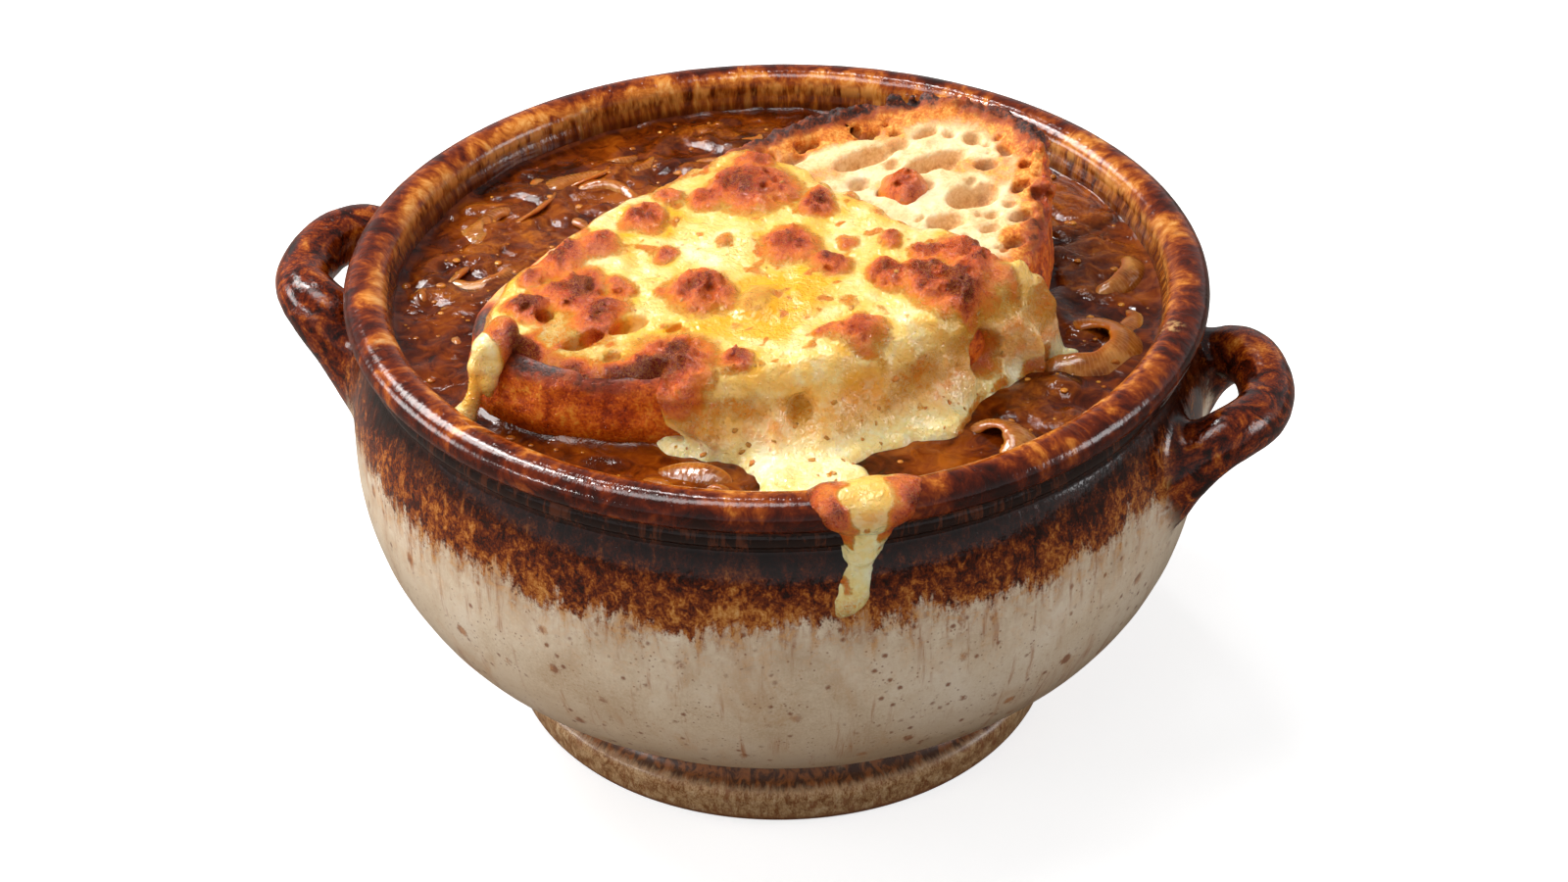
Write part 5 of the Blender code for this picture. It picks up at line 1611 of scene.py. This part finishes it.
# --------------------------------------------------------------------------
# small things: droplets of fat on the broth, flecks of herb in the cheese
# --------------------------------------------------------------------------
def small_shape(around=8, rows=5):
    """A unit ball with quads only, to be squashed and turned."""
    lat = np.linspace(-PI / 2, PI / 2, rows + 2)[1:-1]
    lon = np.linspace(0, 2 * PI, around + 1)[:-1]
    v = np.stack([
        (np.cos(lat)[:, None] * np.cos(lon)).ravel(), (np.cos(lat)[:, None] * np.sin(lon)).ravel(),
        np.repeat(np.sin(lat), around),
    ], 1)
    i, j = np.meshgrid(np.arange(rows - 1), np.arange(around), indexing="ij")
    k = (j + 1) % around
    f = np.stack([i * around + j, i * around + k, (i + 1) * around + k, (i + 1) * around + j], -1).reshape(-1, 4)
    even = np.arange(0, around, 2)
    m, end = len(v), (rows - 1) * around
    v = np.vstack([v, [[0, 0, -1], [0, 0, 1]]])
    f = np.vstack([
        f,
        np.stack([np.full(len(even), m), (even + 2) % around, even + 1, even], 1),
        np.stack([np.full(len(even), m + 1), end + even, end + even + 1, end + (even + 2) % around], 1),
    ])
    return v, turned_out(v, f)


def drops_piece():
    rng = np.random.RandomState(55)
    ball, faces = small_shape(12, 7)
    allv, allf = [], []
    while len(allv) < 190:
        a, r = rng.uniform(0, 2 * PI), math.sqrt(rng.uniform(30.0 ** 2, 65.6 ** 2))
        x, y = np.array([r * math.cos(a)]), np.array([r * math.sin(a)])
        size = 0.28 + 0.75 * rng.rand() ** 2.5
        if not free_of_bread(x, y, 1.4 + size)[0] or pool_depth(x, y)[0] > -0.8:
            continue
        z = broth_height(x, y)[0][0]
        v = ball * np.array([size, size * rng.uniform(0.8, 1.0), size * 0.42]) + np.array([x[0], y[0], z + 0.02])
        allf.append(faces + len(ball) * len(allv))
        allv.append(v)
    m = Nodes("fat_droplets")
    mm = m.scaled(m.coords, (1000.0, 1000.0, 1000.0))
    tone = m.noise(mm, 0.4, 2.0, 0.5)
    m.finish(
        Base_Color=m.ramp(tone, [(0.40, srgb(150, 76, 14)), (0.60, srgb(206, 136, 48))]),
        Roughness=m.add(0.03, m.mul(m.noise(mm, 2.0, 2.0, 0.5), 0.05)), IOR=1.47,
        Subsurface_Weight=0.5, Subsurface_Radius=(1.0, 0.5, 0.15), Subsurface_Scale=0.001,
    )
    shown(mesh_object("fat_droplets", np.vstack(allv), np.vstack(allf), None, None, m.material), None)


def flecks_piece(cheese):
    rng = np.random.RandomState(73)
    count = len(cheese.data.vertices)
    co = np.empty(count * 3, np.float32)
    no = np.empty(count * 3, np.float32)
    cheese.data.vertices.foreach_get("co", co)
    cheese.data.vertices.foreach_get("normal", no)
    co, no = co.reshape(-1, 3).astype(float) / MM, no.reshape(-1, 3).astype(float)
    top = bread_plane(co[:, 0], co[:, 1])
    low = (co[:, 2] < 84.0) & (no[:, 2] > 0.45) & (pool_depth(co[:, 0], co[:, 1]) > 0.8)
    front = (co[:, 2] < top - 1.0) & (co[:, 2] > 81.0) & (no[:, 2] > -0.1) & (no[:, 1] < -0.3)
    high = (co[:, 2] > top + 0.5) & (no[:, 2] > 0.6)
    ball, faces = small_shape(8, 4)
    allv, allf = [], []
    for where, amount in ((low, 48), (front, 8), (high, 12)):
        index = np.nonzero(where)[0]
        for k in rng.choice(index, min(amount, len(index)), replace=False):
            n = no[k] / np.linalg.norm(no[k])
            t = np.cross(n, rng.normal(size=3))
            t /= np.linalg.norm(t)
            b = np.cross(n, t)
            a = rng.uniform(0.22, 0.70)
            q = ball + 0.22 * rng.normal(size=ball.shape)
            v = q[:, :1] * a * t + q[:, 1:2] * a * rng.uniform(0.4, 0.9) * b + q[:, 2:] * 0.10 * n
            allf.append(faces + len(ball) * len(allv))
            allv.append(v + co[k] + 0.03 * n)
    m = Nodes("herb_flecks")
    mm = m.scaled(m.coords, (1000.0, 1000.0, 1000.0))
    tone = m.noise(mm, 0.5, 2.0, 0.5)
    m.finish(
        Base_Color=m.ramp(tone, [(0.38, srgb(168, 112, 34)), (0.50, srgb(204, 146, 60)), (0.62, srgb(214, 128, 44))]),
        Roughness=m.add(0.35, m.mul(m.noise(mm, 3.0, 2.0, 0.5), 0.3)), IOR=1.45,
    )
    shown(mesh_object("herb_flecks", np.vstack(allv), np.vstack(allf), None, None, m.material), None)


broth_piece()
onion_pieces()
bread_piece()
flecks_piece(cheese_piece())
drops_piece()

bowl_piece()


# --------------------------------------------------------------------------
# floor, light and camera
# --------------------------------------------------------------------------
CAMERA_TURN = math.radians(13.5)


def toward(azimuth, elevation, distance):
    """A place seen from the camera's side: 0 is toward the camera, 90 its right."""
    a, e = math.radians(azimuth), math.radians(elevation)
    back = (math.sin(CAMERA_TURN), -math.cos(CAMERA_TURN))
    right = (math.cos(CAMERA_TURN), math.sin(CAMERA_TURN))
    c = math.cos(e) * distance
    return Vector((
        c * (math.cos(a) * back[0] + math.sin(a) * right[0]),
        c * (math.cos(a) * back[1] + math.sin(a) * right[1]),
        math.sin(e) * distance,
    ))


def area_light(name, azimuth, elevation, distance, size, radiance, colour=(1, 1, 1), spin=0.0):
    data = bpy.data.lights.new(name, "AREA")
    data.shape = "RECTANGLE"
    data.size, data.size_y = size
    data.energy = radiance * math.pi * size[0] * size[1]
    data.color = colour
    light = bpy.data.objects.new(name, data)
    bpy.context.scene.collection.objects.link(light)
    light.location = toward(azimuth, elevation, distance) + Vector((0, 0, 0.07))
    aim = (Vector((0, 0, 0.07)) - light.location).to_track_quat("-Z", "Y").to_matrix()
    light.rotation_euler = (aim @ Matrix.Rotation(spin, 3, "Z")).to_euler()
    return light


def stage():
    # white where it is looked at, but a duller bounce light than a white sheet
    m = Nodes("studio_floor")
    ray = m.node("ShaderNodeLightPath")
    seen = ray.outputs["Is Camera Ray"]
    bounce = m.mix(ray.outputs["Is Glossy Ray"], srgb(172, 167, 160), srgb(104, 100, 96))
    m.finish(
        Base_Color=m.mix(seen, bounce, srgb(193, 193, 193)),
        Roughness=0.9, Specular_IOR_Level=0.05,
        Emission_Color=(1.0, 1.0, 1.0, 1.0), Emission_Strength=m.mul(seen, 0.74),
    )
    s = 3.0
    verts = np.array([(-s, -s, 0), (s, -s, 0), (s, s, 0), (-s, s, 0)]) / MM
    floor = mesh_object("studio_floor", verts, np.array([[0, 1, 2, 3]]), None, None, m.material)

    world = bpy.data.worlds.new("studio")
    bpy.context.scene.world = world
    world.use_nodes = True
    tree = world.node_tree
    tree.nodes.clear()
    out = tree.nodes.new("ShaderNodeOutputWorld")
    back = tree.nodes.new("ShaderNodeBackground")
    where = tree.nodes.new("ShaderNodeTexCoord")
    split = tree.nodes.new("ShaderNodeSeparateXYZ")
    ramp = tree.nodes.new("ShaderNodeValToRGB")
    tree.links.new(where.outputs["Generated"], split.inputs[0])
    tree.links.new(split.outputs[2], ramp.inputs[0])
    ramp.color_ramp.elements[0].position = 0.0
    ramp.color_ramp.elements[0].color = (0.80, 0.80, 0.81, 1)
    ramp.color_ramp.elements[1].position = 0.55
    ramp.color_ramp.elements[1].color = (0.34, 0.34, 0.35, 1)
    ramp.color_ramp.elements.new(0.16).color = (0.60, 0.60, 0.61, 1)
    tree.links.new(ramp.outputs[0], back.inputs[0])
    back.inputs[1].default_value = 0.66
    tree.links.new(back.outputs[0], out.inputs[0])

    area_light("key", -121.0, 46.0, 0.95, (0.36, 0.42), 14.2, (1.0, 0.985, 0.965))
    area_light("spark", -126.0, 60.0, 0.95, (0.09, 0.10), 84.0, (1.0, 0.985, 0.965))
    area_light("key_low", -96.0, 15.0, 0.95, (0.50, 0.24), 8.6, (1.0, 0.985, 0.97))
    area_light("glint", -60.0, 21.0, 0.95, (0.20, 0.045), 38.0, (1.0, 0.985, 0.965))
    area_light("back", -164.0, 60.0, 0.95, (0.08, 0.08), 46.0, (1.0, 0.99, 0.98))
    area_light("fill", 84.0, 17.0, 1.0, (0.34, 0.34), 6.4, (0.99, 0.99, 1.0))
    front = area_light("front", -24.0, 34.0, 0.95, (0.30, 0.14), 5.6, (1.0, 0.985, 0.96))
    front.visible_glossy = False
    area_light("top", -75.0, 79.0, 0.9, (0.26, 0.50), 7.0)

    data = bpy.data.cameras.new("camera")
    camera = bpy.data.objects.new("camera", data)
    bpy.context.scene.collection.objects.link(camera)
    data.lens, data.sensor_width = 76.37, 36.0
    data.shift_x, data.shift_y = 0.00303, 0.00942
    data.clip_start, data.clip_end = 0.01, 20.0
    camera.location = (0.1157, -0.4817, 0.3852)
    aim = (Vector((0, 0, 0.045)) - camera.location).to_track_quat("-Z", "Y").to_matrix()
    camera.rotation_euler = (aim @ Matrix.Rotation(math.radians(-0.82), 3, "Z")).to_euler()
    bpy.context.scene.camera = camera
    bpy.context.scene.view_settings.view_transform = "Standard"
    bpy.context.scene.view_settings.look = "None"


stage()
